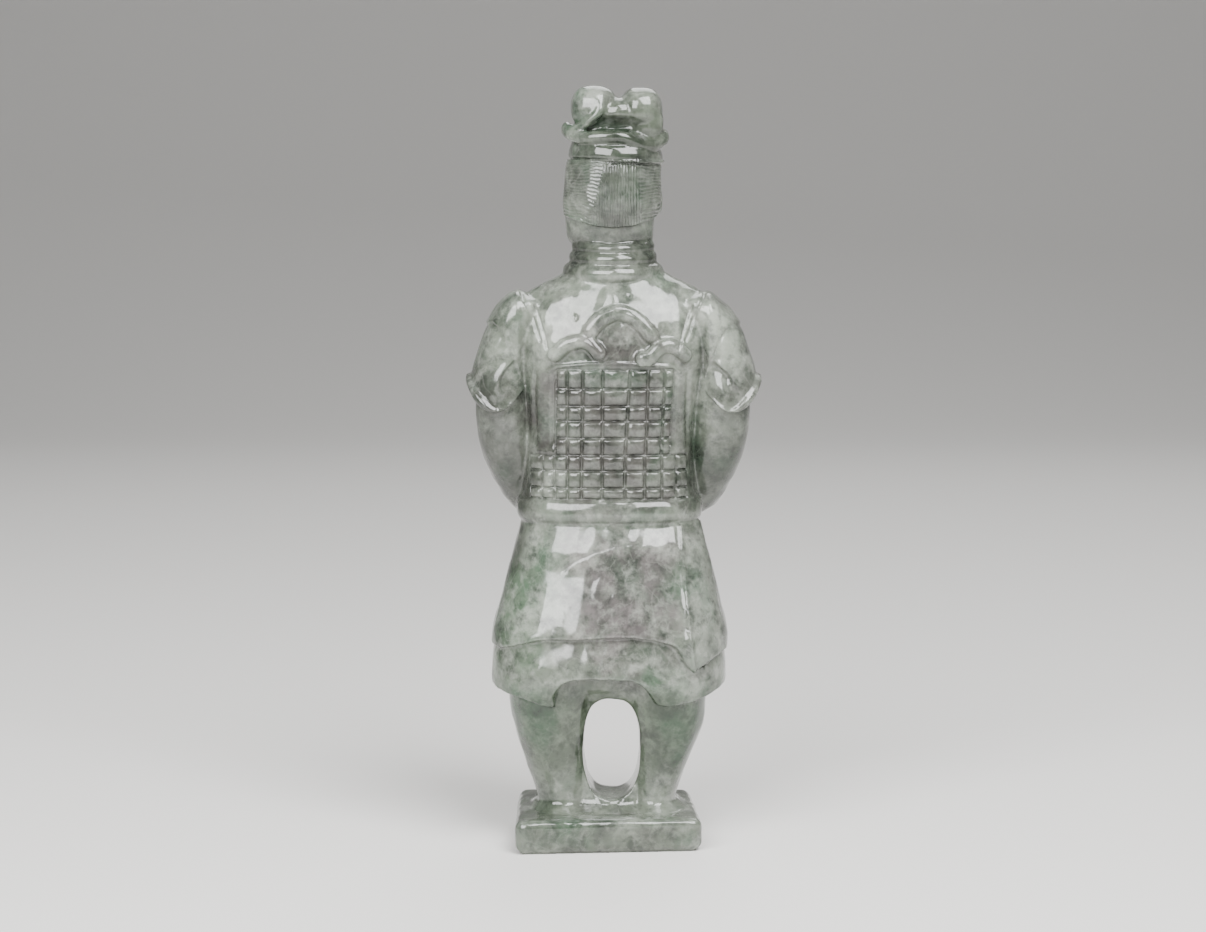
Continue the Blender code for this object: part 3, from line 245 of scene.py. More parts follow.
# Stone left between each upper arm and the body, in the same columns.
ARM_BRIDGE = (
    (158.0, 28.0, 5.0, 0.0, 8.0, 5.0, 2.2),
    (140.0, 28.0, 5.0, 0.0, 8.0, 4.0, 2.2),
    (114.0, 28.0, 4.0, -2.0, 9.0, 4.0, 2.2),
)

# The head and its band, in the columns of the torso's rows.
HEAD = (
    (236.0, -1.7, 9.5, -0.5, 9.5, 10.5, 2.1),
    (232.0, -1.6, 13.4, -0.8, 13.4, 14.2, 2.2),
    (227.0, -1.1, 15.0, -1.0, 15.4, 15.6, 2.2),
    (221.0, -0.6, 15.5, -1.0, 16.2, 16.0, 2.2),
    (215.0, -0.4, 15.8, -1.0, 16.4, 15.6, 2.2),
    (211.0, -0.3, 15.8, -1.0, 16.3, 14.8, 2.2),
    (208.0, 0.3, 15.0, -1.0, 16.1, 13.4, 2.2),
    (204.0, 0.4, 14.6, -1.2, 15.6, 12.2, 2.2),
    (200.5, 0.2, 14.1, -1.4, 14.2, 11.6, 2.2),
    (197.5, -0.4, 12.6, -1.6, 11.8, 11.2, 2.1),
    (192.0, -0.8, 10.8, -0.6, 9.6, 10.4, 2.0),
)
HEADBAND = (
    (231.6, -1.6, 13.2, -0.6, 13.6, 14.6, 2.2),
    (230.8, -1.6, 14.8, -0.8, 15.4, 16.2, 2.2),
    (229.0, -1.6, 15.4, -0.9, 16.2, 17.0, 2.2),
    (227.2, -1.5, 15.5, -1.0, 16.4, 17.2, 2.2),
    (226.2, -1.5, 15.0, -1.0, 15.9, 16.6, 2.2),
)
HEADBAND_SLOPE = 0.06
# The three rolls of the scarf: height, half width and half depth of the roll's own line, share.
SCARF_CENTRE = (-0.7, 0.6)
SCARF = ((190.0, 13.7, 12.3, 1.0), (194.6, 12.3, 11.3, 0.8), (198.2, 11.9, 10.8, 0.62))
SCARF_SAG = 0.9
SCARF_STEPS = 97

# Boxy balls: centre and half sizes.
CAP_SQUARENESS = 2.5
CAP_BALLS = (
    ((5.5, 2.4, 243.5), (7.8, 9.8, 7.4)),
    ((-9.8, 2.4, 242.8), (7.2, 9.8, 7.5)),
    ((-2.2, 2.2, 241.6), (8.6, 9.6, 5.6)),
    ((-1.8, 0.0, 236.6), (14.2, 9.4, 5.8)),
    ((-1.8, -0.2, 232.4), (14.8, 13.6, 4.4)),
    ((-11.4, 4.6, 238.6), (5.8, 6.4, 6.4)),
)
# x, y, height, radius across and through: the roll that runs round the cap through both wings,
# and the fold that climbs from the left wing to the dip between the bulbs.
CAP_ROLL = (
    (14.6, 1.6, 236.6, 2.0, 2.6), (13.0, 7.4, 235.0, 2.2, 2.4), (8.4, 11.6, 233.8, 2.2, 2.2),
    (2.6, 13.4, 233.9, 2.3, 2.2), (-3.0, 13.7, 233.9, 2.3, 2.2), (-6.6, 13.0, 232.8, 2.1, 2.1),
    (-10.2, 11.4, 231.4, 1.7, 1.9), (-13.8, 8.8, 231.4, 1.8, 2.1), (-17.0, 3.4, 233.8, 2.1, 2.6),
    (-15.6, -6.0, 234.4, 2.2, 2.2), (-9.6, -12.0, 233.4, 2.1, 2.1), (-1.8, -13.8, 233.2, 2.0, 2.0),
    (6.0, -12.2, 233.4, 2.1, 2.1), (12.4, -6.8, 235.0, 2.2, 2.2),
)
CAP_FOLD = (
    (13.8, 5.4, 236.6, 1.7, 2.0), (10.8, 9.0, 236.6, 1.7, 2.2), (7.2, 10.6, 239.0, 1.8, 2.4),
    (4.2, 11.0, 241.6, 2.0, 2.4), (3.5, 10.2, 244.6, 2.0, 2.2), (3.2, 8.2, 247.6, 1.6, 1.8),
)

FACE_CENTRE = -0.5
FACE_BALLS = (
    ((0.0, -13.8, 200.9), (4.6, 3.4, 3.2)),
    ((5.6, -15.3, 213.6), (3.4, 2.0, 1.5)),
    ((-5.6, -15.3, 213.6), (3.4, 2.0, 1.5)),
    ((2.0, -17.3, 208.1), (1.5, 1.7, 1.3)),
    ((-2.0, -17.3, 208.1), (1.5, 1.7, 1.3)),
    ((14.9, -0.6, 213.2), (1.7, 3.0, 4.9)),
    ((-14.9, -0.6, 213.2), (1.7, 3.0, 4.9)),
)
# x from the face's centre line, y, height and radius, along each feature.
NOSE = ((0.0, -16.2, 217.0, 1.3), (0.0, -17.6, 212.6, 1.4), (0.0, -19.2, 208.4, 1.9))
BROW = ((2.4, -16.9, 216.6, 0.9), (6.4, -16.4, 218.0, 1.0), (10.4, -13.6, 216.8, 0.8))
UPPER_LIP = ((-3.7, -15.9, 203.9, 0.5), (0.0, -17.3, 204.5, 1.0), (3.7, -15.9, 203.9, 0.5))
LOWER_LIP = ((-2.8, -15.9, 202.9, 0.5), (0.0, -17.0, 202.8, 1.05), (2.8, -15.9, 202.9, 0.5))

HAND_BALLS = (
    ((5.6, -22.4, 116.6), (5.6, 3.6, 4.8)),
    ((-4.2, -24.2, 118.0), (6.0, 3.4, 5.0)),
    ((0.4, -19.4, 117.0), (9.0, 5.0, 5.8)),
)
# Fingers of the hand on top: the first finger's start and end, and the step to the next.
FINGER_START = (-3.2, -26.4, 121.6)
FINGER_END = (6.6, -25.4, 120.4)
FINGER_STEP = (0.3, 0.2, -2.35)
FINGER_COUNT = 4
FINGER_RADIUS = 1.3
FINGER_BEND = (0.0, -0.8, 0.0)
THUMB = ((-6.6, -25.2, 122.0, 1.4), (-3.4, -25.4, 124.0, 1.4), (0.4, -24.4, 124.4, 1.2))

BOOTS_X = (15.0, -14.0)
# y, half width, top of the boot, along a boot from ankle to toe.
BOOT = ((2.0, 7.6, 17.0), (-6.0, 8.4, 18.6), (-12.0, 8.2, 16.4), (-17.0, 7.9, 14.6),
        (-20.0, 7.6, 14.6), (-22.4, 6.8, 15.4))

# Ribbons across the upper back: x and height along each.
RIBBON_LEFT = (
    (20.3, 161.6), (17.8, 163.8), (15.4, 166.0), (12.3, 167.3), (9.1, 167.6), (6.3, 166.4),
    (4.2, 164.0), (2.4, 161.9),
)
RIBBON_ARCH = (
    (8.2, 168.6), (6.6, 171.4), (3.6, 174.6), (0.0, 176.4), (-2.9, 177.0), (-6.1, 176.1),
    (-9.4, 173.8), (-12.1, 170.8), (-14.6, 167.4),
)
RIBBON_RIGHT = (
    (-8.9, 164.0), (-10.6, 162.1), (-12.9, 162.7), (-15.3, 165.0), (-18.2, 166.2),
    (-21.3, 165.5), (-23.9, 163.4), (-25.8, 161.0),
)
ARCH_SHARE = 1.12
CHEST_RIBBON_RISE = 3.0
CHEST_RIBBON_SHARE = 0.9
RIBBON_LIFT = 0.5
RIBBON_FLATNESS = 0.85

# Armour panel on the back: x of each seam at the panel's head and foot, and the seam heights.
BACK_SEAMS_TOP = (18.0, 14.4, 9.2, 2.8, -6.2, -12.2, -17.6, -20.9)
BACK_SEAMS_FOOT = (18.4, 14.3, 9.6, 2.9, -4.6, -11.3, -16.4, -19.4)
BACK_ROWS = (158.5, 152.0, 146.3, 141.3, 135.7, 130.0)
WAIST_SEAMS = (26.8, 22.6, 18.6, 14.4, 9.8, 3.0, -4.5, -11.0, -16.6, -21.4, -25.2)
WAIST_ROWS = (130.0, 124.8, 119.1, 115.4)
FRONT_SEAMS = (20.0, 15.0, 9.5, 3.4, -3.4, -9.5, -15.0, -20.0)
FRONT_ROWS = (163.0, 157.0, 151.0, 145.0, 139.0, 133.0, 127.0, 121.0, 115.4)
APRON_ROWS = (104.0, 98.0, 92.0, 86.0)
APRON_HALF_WIDTH = 17.0
APRON_TOP = 109.0
APRON_TIP = 80.0
APRON_BOW = 0.6

# Seams on the shoulders: x and height. The last shoulder edge is where the guard ends.
STRAP_OUTER = ((29.4, 182.6), (27.6, 179.0), (25.7, 174.9), (24.4, 170.7), (23.2, 167.6))
STRAP_INNER = ((25.0, 179.0), (23.8, 175.6), (21.9, 169.3), (20.9, 165.0))
GUARD_EDGE = ((46.0, 171.0), (42.0, 172.0), (38.6, 173.4), (35.6, 170.6), (33.0, 165.0), (30.6, 158.0))
FLAP_EDGE = ((-21.8, 108.0), (-22.6, 98.0), (-24.0, 84.0), (-25.4, 70.0), (-26.6, 60.0))
HAIR_EDGE = (
    (15.6, 208.6), (11.0, 206.8), (5.0, 205.2), (-1.0, 204.6), (-7.0, 205.2), (-13.0, 207.4),
    (-17.0, 210.0),
)
# Heights and depths between which each relief is laid, and x where the guards and the flap fade.
TRUNK_HALF_WIDTH = 27.5
TRUNK_HEIGHTS = (114.0, 164.0)
BACK_DEPTHS = (8.0, 24.0)
WAIST_DEPTHS = (6.0, 24.0)
FRONT_DEPTHS = (-21.5, -8.0)
APRON_HEIGHTS = (76.0, 110.0)
APRON_DEPTHS = (-24.0, -12.0)
SHOULDER_HEIGHTS = (155.0, 186.0)
GUARD_FADE = (29.0, 31.0)
FLAP_HEIGHTS = (58.0, 107.5)
FLAP_START = -18.0
FLAP_FADE = (30.0, 38.0)
HAIR_HEIGHTS = (200.0, 226.6)
HAIR_FADE = (1.0, 4.0)
HEAD_HEIGHTS = (222.0, 230.0)
# The shoulders mirror about this x. Carved edges are this wide, and a point of the skin counts
# as facing the back or the front from this share of its normal.
TRUNK_CENTRE = -0.7
EDGE = 0.35
FACING = 0.25

# The fine skin: its grain, how often it is softened, and its triangles.
FINE_GRAIN = 0.00045
FINE_SOFTENING = 4
FINE_TRIANGLES = 190000
# Nodes of the carved roll's tree, in the order in which it names them.
ROLL_NODES = (
    "MeshToCurve", "InputNamedAttribute", "SplineParameter", "SplineLength", "SetCurveNormal",
    "CurvePrimitiveCircle", "Transform", "CurveToMesh", "RealizeInstances", "SetMaterial",
)
# Sides of the roll's section, and a share just above one that keeps a little width at its ends.
ROLL_SIDES = 18
ROLL_END = 1.02

# Finer carving, in metres.
HAIR_GROOVE_PITCH = 0.00085
HAIR_GROOVE_DEPTH = 0.00042
SIDE_GROOVE_PITCH = 0.00120
SIDE_GROOVE_DEPTH = 0.00024
PILLOW = 0.00045
PLATE_TILT = 0.045
PLATE_SINK = 0.25
FINE_GROOVE_WIDTH = 0.0008
FINE_GROOVE_DEPTH = 0.0009
LIP_RISE = 0.0006
LIP_WIDTH = 0.0011
CREASE_WIDTH = 0.0012
CREASE_DEPTH = 0.0006
CREASE_SHARPNESS = 1.6
CREASE_FADE = 3
BAND_LINE_DEPTH = 0.0006
BAND_LINE_WIDTH = 0.0006
# Waves of the polish: how many are added up, how their lengths spread, and the seeds of chance.
WAVE_COUNT = 9
WAVE_SPREAD = 1.7
POLISH_SEED = 11
RIPPLE_SEED = 5
POLISH_WAVE = 0.00003
POLISH_WAVELENGTH = 0.0065
RIPPLE = 0.000010
RIPPLE_LENGTH = 0.0024
RIPPLE_FADE = (0.6, 2.4)

# The line of plain stone that frames the back panel, and creases: x and height along each.
PANEL_LIP = ((20.4, 157.6), (17.8, 159.3), (8.0, 160.2), (-2.0, 160.5), (-12.0, 160.0), (-20.2, 159.2),
             (-22.4, 157.4))
BACK_CREASES = (
    ((24.6, 159.0), (25.4, 150.0), (25.2, 140.0), (24.8, 131.0)),
    ((18.6, 158.0), (19.0, 150.0), (19.0, 140.0), (18.8, 131.0)),
    ((-21.6, 158.0), (-20.6, 146.0), (-20.0, 131.0)),
    ((-25.4, 158.0), (-25.2, 146.0), (-25.4, 131.0)),
    ((34.6, 171.6), (32.7, 166.6), (31.2, 162.4)),
    ((-38.2, 172.0), (-35.6, 168.2), (-33.3, 161.2)),
)
# Folds of the sleeves, each from its inner end round to its outer end with the hollow below it.
SLEEVE_FOLDS = (
    ((31.2, 162.6), (32.8, 160.4), (35.1, 158.0), (36.6, 155.4), (37.2, 152.4), (37.4, 150.0)),
    ((-40.9, 153.2), (-40.0, 155.0), (-38.0, 157.4), (-35.6, 159.5), (-33.2, 161.8)),
)
FOLD_DEPTH = 0.0014
FLAP_RIDGE = 0.0008
FLAP_RIDGE_WIDTH = 0.0011
FOLD_REACH = 0.0036
FOLD_RIDGE = 0.0005
ROBE_CREASE = ((16.6, 91.4), (12.0, 95.2), (5.0, 98.4), (-1.0, 100.2), (-7.6, 101.0))
# The strip of upright hair: x of its sides at the head and at the foot, and their heights.
HAIR_STRIP = ((225.0, 2.3, -8.2), (206.0, 5.6, -9.6))
HAIR_STRIP_BLEND = 1.7
SIDE_HAIR_SLOPES = (0.15, -0.42)
# Strands stray by waves: reach, and steps across and along. Upright ones stray less.
HAIR_STRAYS = ((0.22, 0.9, 0.31), (0.12, 2.3, -0.7))
UPRIGHT_STRAY = 0.4
HAIR_EDGE_FADE = (0.1, 0.8)
HAIR_SIDE_FADE = (0.0, 3.0)
# Pits in the stone: x, height, half width, half height and depth.
PITS = ((11.5, 175.3, 1.0, 1.7, 0.7), (-1.4, 238.4, 10.5, 3.2, 1.3))
PIT_FLOOR = 0.2

# The photograph's viewpoint.
CAMERA_PLACE = (0.00266, 0.950, 0.2271)
CAMERA_PITCH = math.radians(6.04)
LENS = 85.34
SENSOR = 36.0

# Where the legs meet the plinth and where the cap ends in the drawing, and the drawing's unit.
DRAWN_FOOT = LEG_WEB[-2][0]
DRAWN_TOP = CAP_BALLS[0][0][2] + CAP_BALLS[0][1][2]
UNIT = FIGURE_HEIGHT / (DRAWN_TOP - DRAWN_FOOT)


def figure_point(point):
    """A drawn point as a place in metres on the real plinth."""
    x, y, height = point
    return (x * UNIT, y * UNIT, PLINTH_HEIGHT + (height - DRAWN_FOOT) * UNIT)


def drawn(length):
    """A length in metres, in the units of the drawing."""
    return length / UNIT


def ramp(value, low, high):
    """0 below low, 1 above high, smooth between them."""
    share = np.clip((value - low) / (high - low), 0, 1)
    return share * share * (3 - 2 * share)


def through(rows, count):
    """Rows of numbers on a smooth curve through the given rows."""
    rows = np.array(rows, float)
    place = np.linspace(0, len(rows) - 1, count)
    index = np.minimum(place.astype(int), len(rows) - 2)
    f = (place - index)[:, None]
    padded = np.vstack([2 * rows[0] - rows[1], rows, 2 * rows[-1] - rows[-2]])
    a, b, c, d = (padded[index + step] for step in range(4))
    return 0.5 * (2 * b + (c - a) * f + (2 * a - 5 * b + 4 * c - d) * f**2 + (3 * b - 3 * c + d - a) * f**3)


def oval(angles, squareness):
    """The two directions of a superellipse of half sizes one."""
    power = 2 / squareness
    across, along = np.cos(angles), np.sin(angles)
    return np.sign(across) * np.abs(across) ** power, np.sign(along) * np.abs(along) ** power


def placed(name, data):
    """A new object of this data, put in the scene."""
    body = bpy.data.objects.new(name, data)
    bpy.context.scene.collection.objects.link(body)
    return body


@contextlib.contextmanager
def opened(mesh):
    """The mesh opened for editing, and written back afterwards."""
    skin = bmesh.new()
    skin.from_mesh(mesh)
    yield skin
    skin.to_mesh(mesh)
    skin.free()


def mesh_object(name, points, faces):
    """A new object from drawn points, its faces turned outwards."""
    mesh = bpy.data.meshes.new(name)
    mesh.from_pydata([figure_point(p) for p in points], [], faces)
    with opened(mesh) as skin:
        bmesh.ops.recalc_face_normals(skin, faces=skin.faces)
    return placed(name, mesh)


def skin_rings(name, rings):
    """A closed loft over rings, an array of levels by points round by three."""
    levels, around = rings.shape[:2]
    faces = [
        (low + j, low + (j + 1) % around, low + around + (j + 1) % around, low + around + j)
        for low in range(0, (levels - 1) * around, around)
        for j in range(around)
    ]
    faces.append(tuple(range(around)))
    faces.append(tuple((levels - 1) * around + j for j in range(around)))
    return mesh_object(name, rings.reshape(-1, 3), faces)


def profile(rows, count, heights):
    """A standing form's values at these heights, from its rows on a smooth curve."""
    fine = through(rows, count)
    fine = fine[np.argsort(fine[:, 0])]
    return [np.interp(heights, fine[:, 0], fine[:, k]) for k in range(1, 7)]


def upright_rings(rows, levels, around, hem=None):
    """Level rings of a standing form.

    hem gives the height of its foot for each x and side. A form with a hem is hollowed
    below, to the thickness of the cloth.
    """
    angles = np.linspace(0, 2 * math.pi, around, endpoint=False)

    def outline(heights):
        values = profile(rows, FINE_ROWS * len(rows), heights)
        centre_x, half_width, centre_y, front, back, squareness = values
        across, along = oval(angles, squareness)
        return centre_x + half_width * across, centre_y + np.where(along > 0, back, front) * along

    top, foot = rows[0][0], rows[-1][0]
    foots = np.full(around, foot)
    if hem is not None:
        for _ in range(HEM_PASSES):
            foots = hem(outline(foots)[0], np.sin(angles))
    heights = top + np.linspace(0, 1, levels)[:, None] * (foots - top)
    rings = np.stack([*outline(heights), heights], axis=-1)
    if hem is None:
        return rings
    lip, roof = rings[-1].copy(), rings[-1].copy()
    middle = np.array([rows[-1][1], rows[-1][3]])
    widest = max(row[2] for row in rows)
    lip[:, :2] += (middle - lip[:, :2]) * drawn(HEM_THICKNESS) / widest
    roof[:, :2] = lip[:, :2] + (middle - lip[:, :2]) * HEM_HOLLOW
    roof[:, 2] = foots.max() + drawn(HEM_THICKNESS)
    return np.concatenate([rings, [lip, roof]])


def upright(name, rows, levels=40, around=96, hem=None):
    return skin_rings(name, upright_rings(rows, levels, around, hem))


def limb(name, rows, levels=28, around=24, reference=None):
    """A tube of changing size along rows of x, y, height, radius across and radius through.

    The through radius lies along the reference direction where one is given. Both ends are
    rounded by a few shrinking rings.
    """
    fine = through(rows, levels)
    path, radii = fine[:, :3], fine[:, 3:]
    tangents = np.gradient(path, axis=0)
    tangents /= np.linalg.norm(tangents, axis=1)[:, None]
    through_way = np.array(reference if reference is not None else (0.0, 1.0, 0.0))
    angles = np.linspace(0, 2 * math.pi, around, endpoint=False)
    rings = []
    for point, tangent, (across_r, through_r) in zip(path, tangents, radii):
        start = np.array(reference) if reference is not None else through_way
        through_way = start - tangent * (start @ tangent)
        through_way /= np.linalg.norm(through_way)
        across_way = np.cross(tangent, through_way)
        rings.append((point, tangent, across_way * across_r, through_way * through_r))
    ends = np.linspace(0, math.pi / 2, END_STEPS)[1:-1]
    opening, closing = [], []
    for (point, tangent, across, deep), out, cap in ((rings[0], -1, opening), (rings[-1], 1, closing)):
        reach = out * min(np.linalg.norm(across), np.linalg.norm(deep))
        cap += [
            (point + tangent * reach * math.sin(a), None, across * math.cos(a), deep * math.cos(a))
            for a in ends
        ]
    stack = [
        point + np.cos(angles)[:, None] * across + np.sin(angles)[:, None] * deep
        for point, _, across, deep in opening[::-1] + rings + closing
    ]
    return skin_rings(name, np.array(stack))


def ball(name, centre, half_sizes, squareness=2.0):
    """A ball of these half sizes. Above 2, its squareness makes it boxier."""
    made = bmesh.new()
    bmesh.ops.create_uvsphere(made, u_segments=32, v_segments=20, radius=1.0)
    points = []
    for vertex in made.verts:
        reach = sum(abs(value) ** squareness for value in vertex.co) ** (-1 / squareness)
        points.append(tuple(c + h * reach * value for c, h, value in zip(centre, half_sizes, vertex.co)))
    faces = [tuple(vertex.index for vertex in face.verts) for face in made.faces]
    made.free()
    return mesh_object(name, points, faces)


def mirrored(rows):
    return tuple((-row[0], *row[1:]) for row in rows)


def mesh_copy(name, source):
    """The evaluated source as a plain mesh object of its own, with its caps welded."""
    bpy.context.view_layer.update()
    graph = bpy.context.evaluated_depsgraph_get()
    mesh = bpy.data.meshes.new_from_object(source.evaluated_get(graph))
    with opened(mesh) as skin:
        bmesh.ops.remove_doubles(skin, verts=skin.verts, dist=WELD)
    bpy.data.objects.remove(source)
    return placed(name, mesh)


def make_plinth():
    """A slab with rounded edges. Its back face is cut askew, as the block was worked by hand."""
    bpy.ops.mesh.primitive_cube_add(size=1.0)
    slab = bpy.context.object
    centre = Vector((PLINTH_CENTRE_X, 0, PLINTH_HEIGHT / 2))
    slab.data.transform(Matrix.LocRotScale(centre, None, Vector((PLINTH_WIDTH, PLINTH_DEPTH, PLINTH_HEIGHT))))
    for vertex in slab.data.vertices:
        if vertex.co.x < 0 < vertex.co.y:
            vertex.co.y -= PLINTH_SKEW_TOP if vertex.co.z > centre.z else PLINTH_SKEW_FOOT
        elif vertex.co.x < 0:
            vertex.co.x += PLINTH_TAPER
    rounding = slab.modifiers.new("rounded edges", "BEVEL")
    rounding.width = PLINTH_ROUNDING
    rounding.segments = PLINTH_ROUNDING_STEPS
    return mesh_copy("plinth", slab)


def gap_rings(reach, levels=31, around=64):
    """The oval gap between the legs as rings along y, flared at both ends for a rounded rim."""
    foot = figure_point((0, 0, LEG_GAP_FOOT))[2]
    angles = np.linspace(0, 2 * math.pi, around, endpoint=False)
    across, along = oval(angles, LEG_GAP_SQUARENESS)
    rings = []
    for y in np.linspace(-reach, reach, levels):
        share = min(abs(y) / reach, LEG_GAP_FLARE_END)
        flare = LEG_GAP_RIM * (1 - math.sqrt(1 - share**4))
        x = LEG_GAP_CENTRE * UNIT + (LEG_GAP_WIDTH / 2 + flare) * across
        height = foot + LEG_GAP_HEIGHT / 2 + (LEG_GAP_HEIGHT / 2 + flare) * along
        rings.append(np.stack(drawn_points(np.stack([x, np.full(around, y), height], axis=-1)), axis=-1))
    return np.array(rings)


def make_legs():
    """Trouser legs and the stone that joins them, pierced by the gap between the legs."""
    legs = [
        upright("leg_left", [(height, x, half, *rest) for height, x, half, _, _, *rest in LEGS]),
        upright("leg_right", [(height, x, half, *rest) for height, _, _, x, half, *rest in LEGS]),
        upright("leg_web", LEG_WEB),
    ]
    gap = skin_rings("leg_gap", gap_rings(reach=LEG_GAP_REACH * UNIT))
    pierced = []
    for leg in legs:
        cut = leg.modifiers.new("gap", "BOOLEAN")
        cut.operation = "DIFFERENCE"
        cut.solver = "EXACT"
        cut.object = gap
        pierced.append(mesh_copy(leg.name, leg))
    bpy.data.objects.remove(gap)
    return pierced


def make_boots():
    boots = []
    for side, centre in zip(("left", "right"), BOOTS_X):
        rows = [(centre, y, DRAWN_FOOT, half, top - DRAWN_FOOT) for y, half, top in BOOT]
        boots.append(limb(f"boot_{side}", rows, reference=(0, 0, 1)))
    return boots


def hem_of(back, front):
    """Height of a hem for x and side, from its tables for the back and the front."""
    back, front = np.array(back), np.array(front)

    def height(x, side):
        return np.where(side >= 0, np.interp(x, *back.T), np.interp(x, *front.T))

    return height


def make_robes():
    return [
        upright("lower_robe", LOWER_ROBE, around=160, hem=hem_of(LOWER_HEM_BACK, LOWER_HEM_FRONT)),
        upright("upper_robe", UPPER_ROBE, around=160, hem=hem_of(UPPER_HEM_BACK, UPPER_HEM_FRONT)),
        upright("belt", BELT, levels=14),
    ]


def sleeve_hem(x, side):
    drop = np.where(side > 0, SLEEVE_HEM_DROP_BACK, SLEEVE_HEM_DROP_FRONT)
    return SLEEVE_HEM_SIDE - drop * (1 - np.clip(1 - side**2, 0, 1) ** SLEEVE_HEM_POINT)


def make_arms():
    pieces = []
    for side, flip, arm_lean, sleeve_lean in (("left", 1, 0.0, 0.0), ("right", -1, ARM_LEAN, SLEEVE_LEAN)):
        arm = [(flip * x + arm_lean, *rest) for x, *rest in ARM]
        cuff = [(flip * x, *rest) for x, *rest in CUFF]
        bridge = [(height, flip * x, *rest) for height, x, *rest in ARM_BRIDGE]
        rings = upright_rings(SLEEVE, 30, 64, sleeve_hem) * (flip, 1, 1)
        rings[..., 0] += sleeve_lean * ramp(SLEEVE[0][0] - rings[..., 2], 0, SLEEVE_LEAN_DROP)
        outward = ramp(np.cos(np.linspace(0, 2 * math.pi, len(rings[-3]) + 1)), *SLEEVE_ROLL_FADE)
        swell = SLEEVE_ROLL_INNER + (SLEEVE_ROLL_OUTER - SLEEVE_ROLL_INNER) * outward
        roll = np.column_stack([np.vstack([rings[-3], rings[-3][:1]]), swell])
        pieces.append(limb(f"arm_{side}", arm, levels=40, around=36))
        pieces.append(limb(f"cuff_{side}", cuff, levels=8, around=36))
        pieces.append(upright(f"bridge_{side}", bridge, levels=16, around=32))
        pieces.append(skin_rings(f"sleeve_{side}", rings))
        hem = carved_roll(f"sleeve_hem_{side}", roll, SLEEVE_HEM_ROLL / 2, closed=True, points=len(roll))
        pieces.append(hem)
    return pieces


def make_hands():
    pieces = [ball(f"hand_{k}", *sizes) for k, sizes in enumerate(HAND_BALLS)]
    for k in range(FINGER_COUNT):
        ends = [np.array(end) + k * np.array(FINGER_STEP) for end in (FINGER_START, FINGER_END)]
        middle = (ends[0] + ends[1]) / 2 + FINGER_BEND
        rows = [(*p, FINGER_RADIUS, FINGER_RADIUS) for p in (ends[0], middle, ends[1])]
        pieces.append(limb(f"finger_{k}", rows, levels=10, around=14, reference=(0, 0, 1)))
    pieces.append(limb("thumb", [(*row, row[3]) for row in THUMB], levels=10, around=14, reference=(0, 0, 1)))
    return pieces


def make_scarf():
    rolls = []
    turns = np.linspace(0, 2 * math.pi, SCARF_STEPS)
    for k, (height, half_width, half_depth, share) in enumerate(SCARF):
        rows = [
            (
                SCARF_CENTRE[0] + half_width * math.cos(a),
                SCARF_CENTRE[1] + half_depth * math.sin(a),
                height - SCARF_SAG * abs(math.sin(a)),
                share,
            )
            for a in turns
        ]
        rolls.append(carved_roll(f"scarf_{k}", rows, COLLAR_ROLL / 2, closed=True, points=len(rows)))
    return rolls


def make_head():
    pieces = [upright("head", HEAD)]
    band = upright_rings(HEADBAND, 12, 96)
    band[..., 2] += HEADBAND_SLOPE * band[..., 0]
    pieces.append(skin_rings("headband", band))
    for k, (centre, half_sizes) in enumerate(FACE_BALLS):
        pieces.append(ball(f"face_{k}", (centre[0] + FACE_CENTRE, *centre[1:]), half_sizes))
    features = {
        "nose": NOSE,
        "brow_left": BROW,
        "brow_right": mirrored(BROW),
        "upper_lip": UPPER_LIP,
        "lower_lip": LOWER_LIP,
    }
    for name, rows in features.items():
        line = [(x + FACE_CENTRE, y, z, r, r) for x, y, z, r in rows]
        reference = (1, 0, 0) if name == "nose" else (0, 0, 1)
        pieces.append(limb(name, line, levels=12, around=14, reference=reference))
    return pieces


def make_cap():
    pieces = [ball(f"cap_{k}", *sizes, CAP_SQUARENESS) for k, sizes in enumerate(CAP_BALLS)]
    pieces.append(limb("cap_roll", CAP_ROLL + CAP_ROLL[:2], levels=90, around=16, reference=(0, 0, 1)))
    pieces.append(limb("cap_fold", CAP_FOLD, levels=24, around=16, reference=(0, 1, 0)))
    return pieces


def torso_depth(x, height, side):
    """y of the torso's skin, on the back for side 1 and on the front for side -1."""
    centre_x, half_width, centre_y, front, back, squareness = profile(TORSO, TORSO_FINE_ROWS, height)
    share = np.clip(np.abs((x - centre_x) / half_width), 0, TORSO_SIDE)
    reach = (1 - share**squareness) ** (1 / squareness)
    return centre_y + (back if side > 0 else -front) * reach


def make_ribbons():
    """Ribbon bands that lie on the upper back, and their plainer match on the chest."""
    radius = drawn(RIBBON_WIDTH / 2)
    bands = {
        "ribbon_left": (RIBBON_LEFT, 1.0, 1),
        "ribbon_arch": (RIBBON_ARCH, ARCH_SHARE, 1),
        "ribbon_right": (RIBBON_RIGHT, 1.0, 1),
        "ribbon_chest_left": (RIBBON_LEFT, CHEST_RIBBON_SHARE, -1),
        "ribbon_chest_right": (mirrored(RIBBON_LEFT), CHEST_RIBBON_SHARE, -1),
    }
    pieces = []
    for name, (points, share, side) in bands.items():
        lift = RIBBON_LIFT * radius * side
        rise = CHEST_RIBBON_RISE if side < 0 else 0.0
        rows = [(x, torso_depth(x, height, side) + lift, height + rise, share) for x, height in points]
        pieces.append(carved_roll(name, rows, RIBBON_WIDTH / 2, RIBBON_FLATNESS))
    return pieces


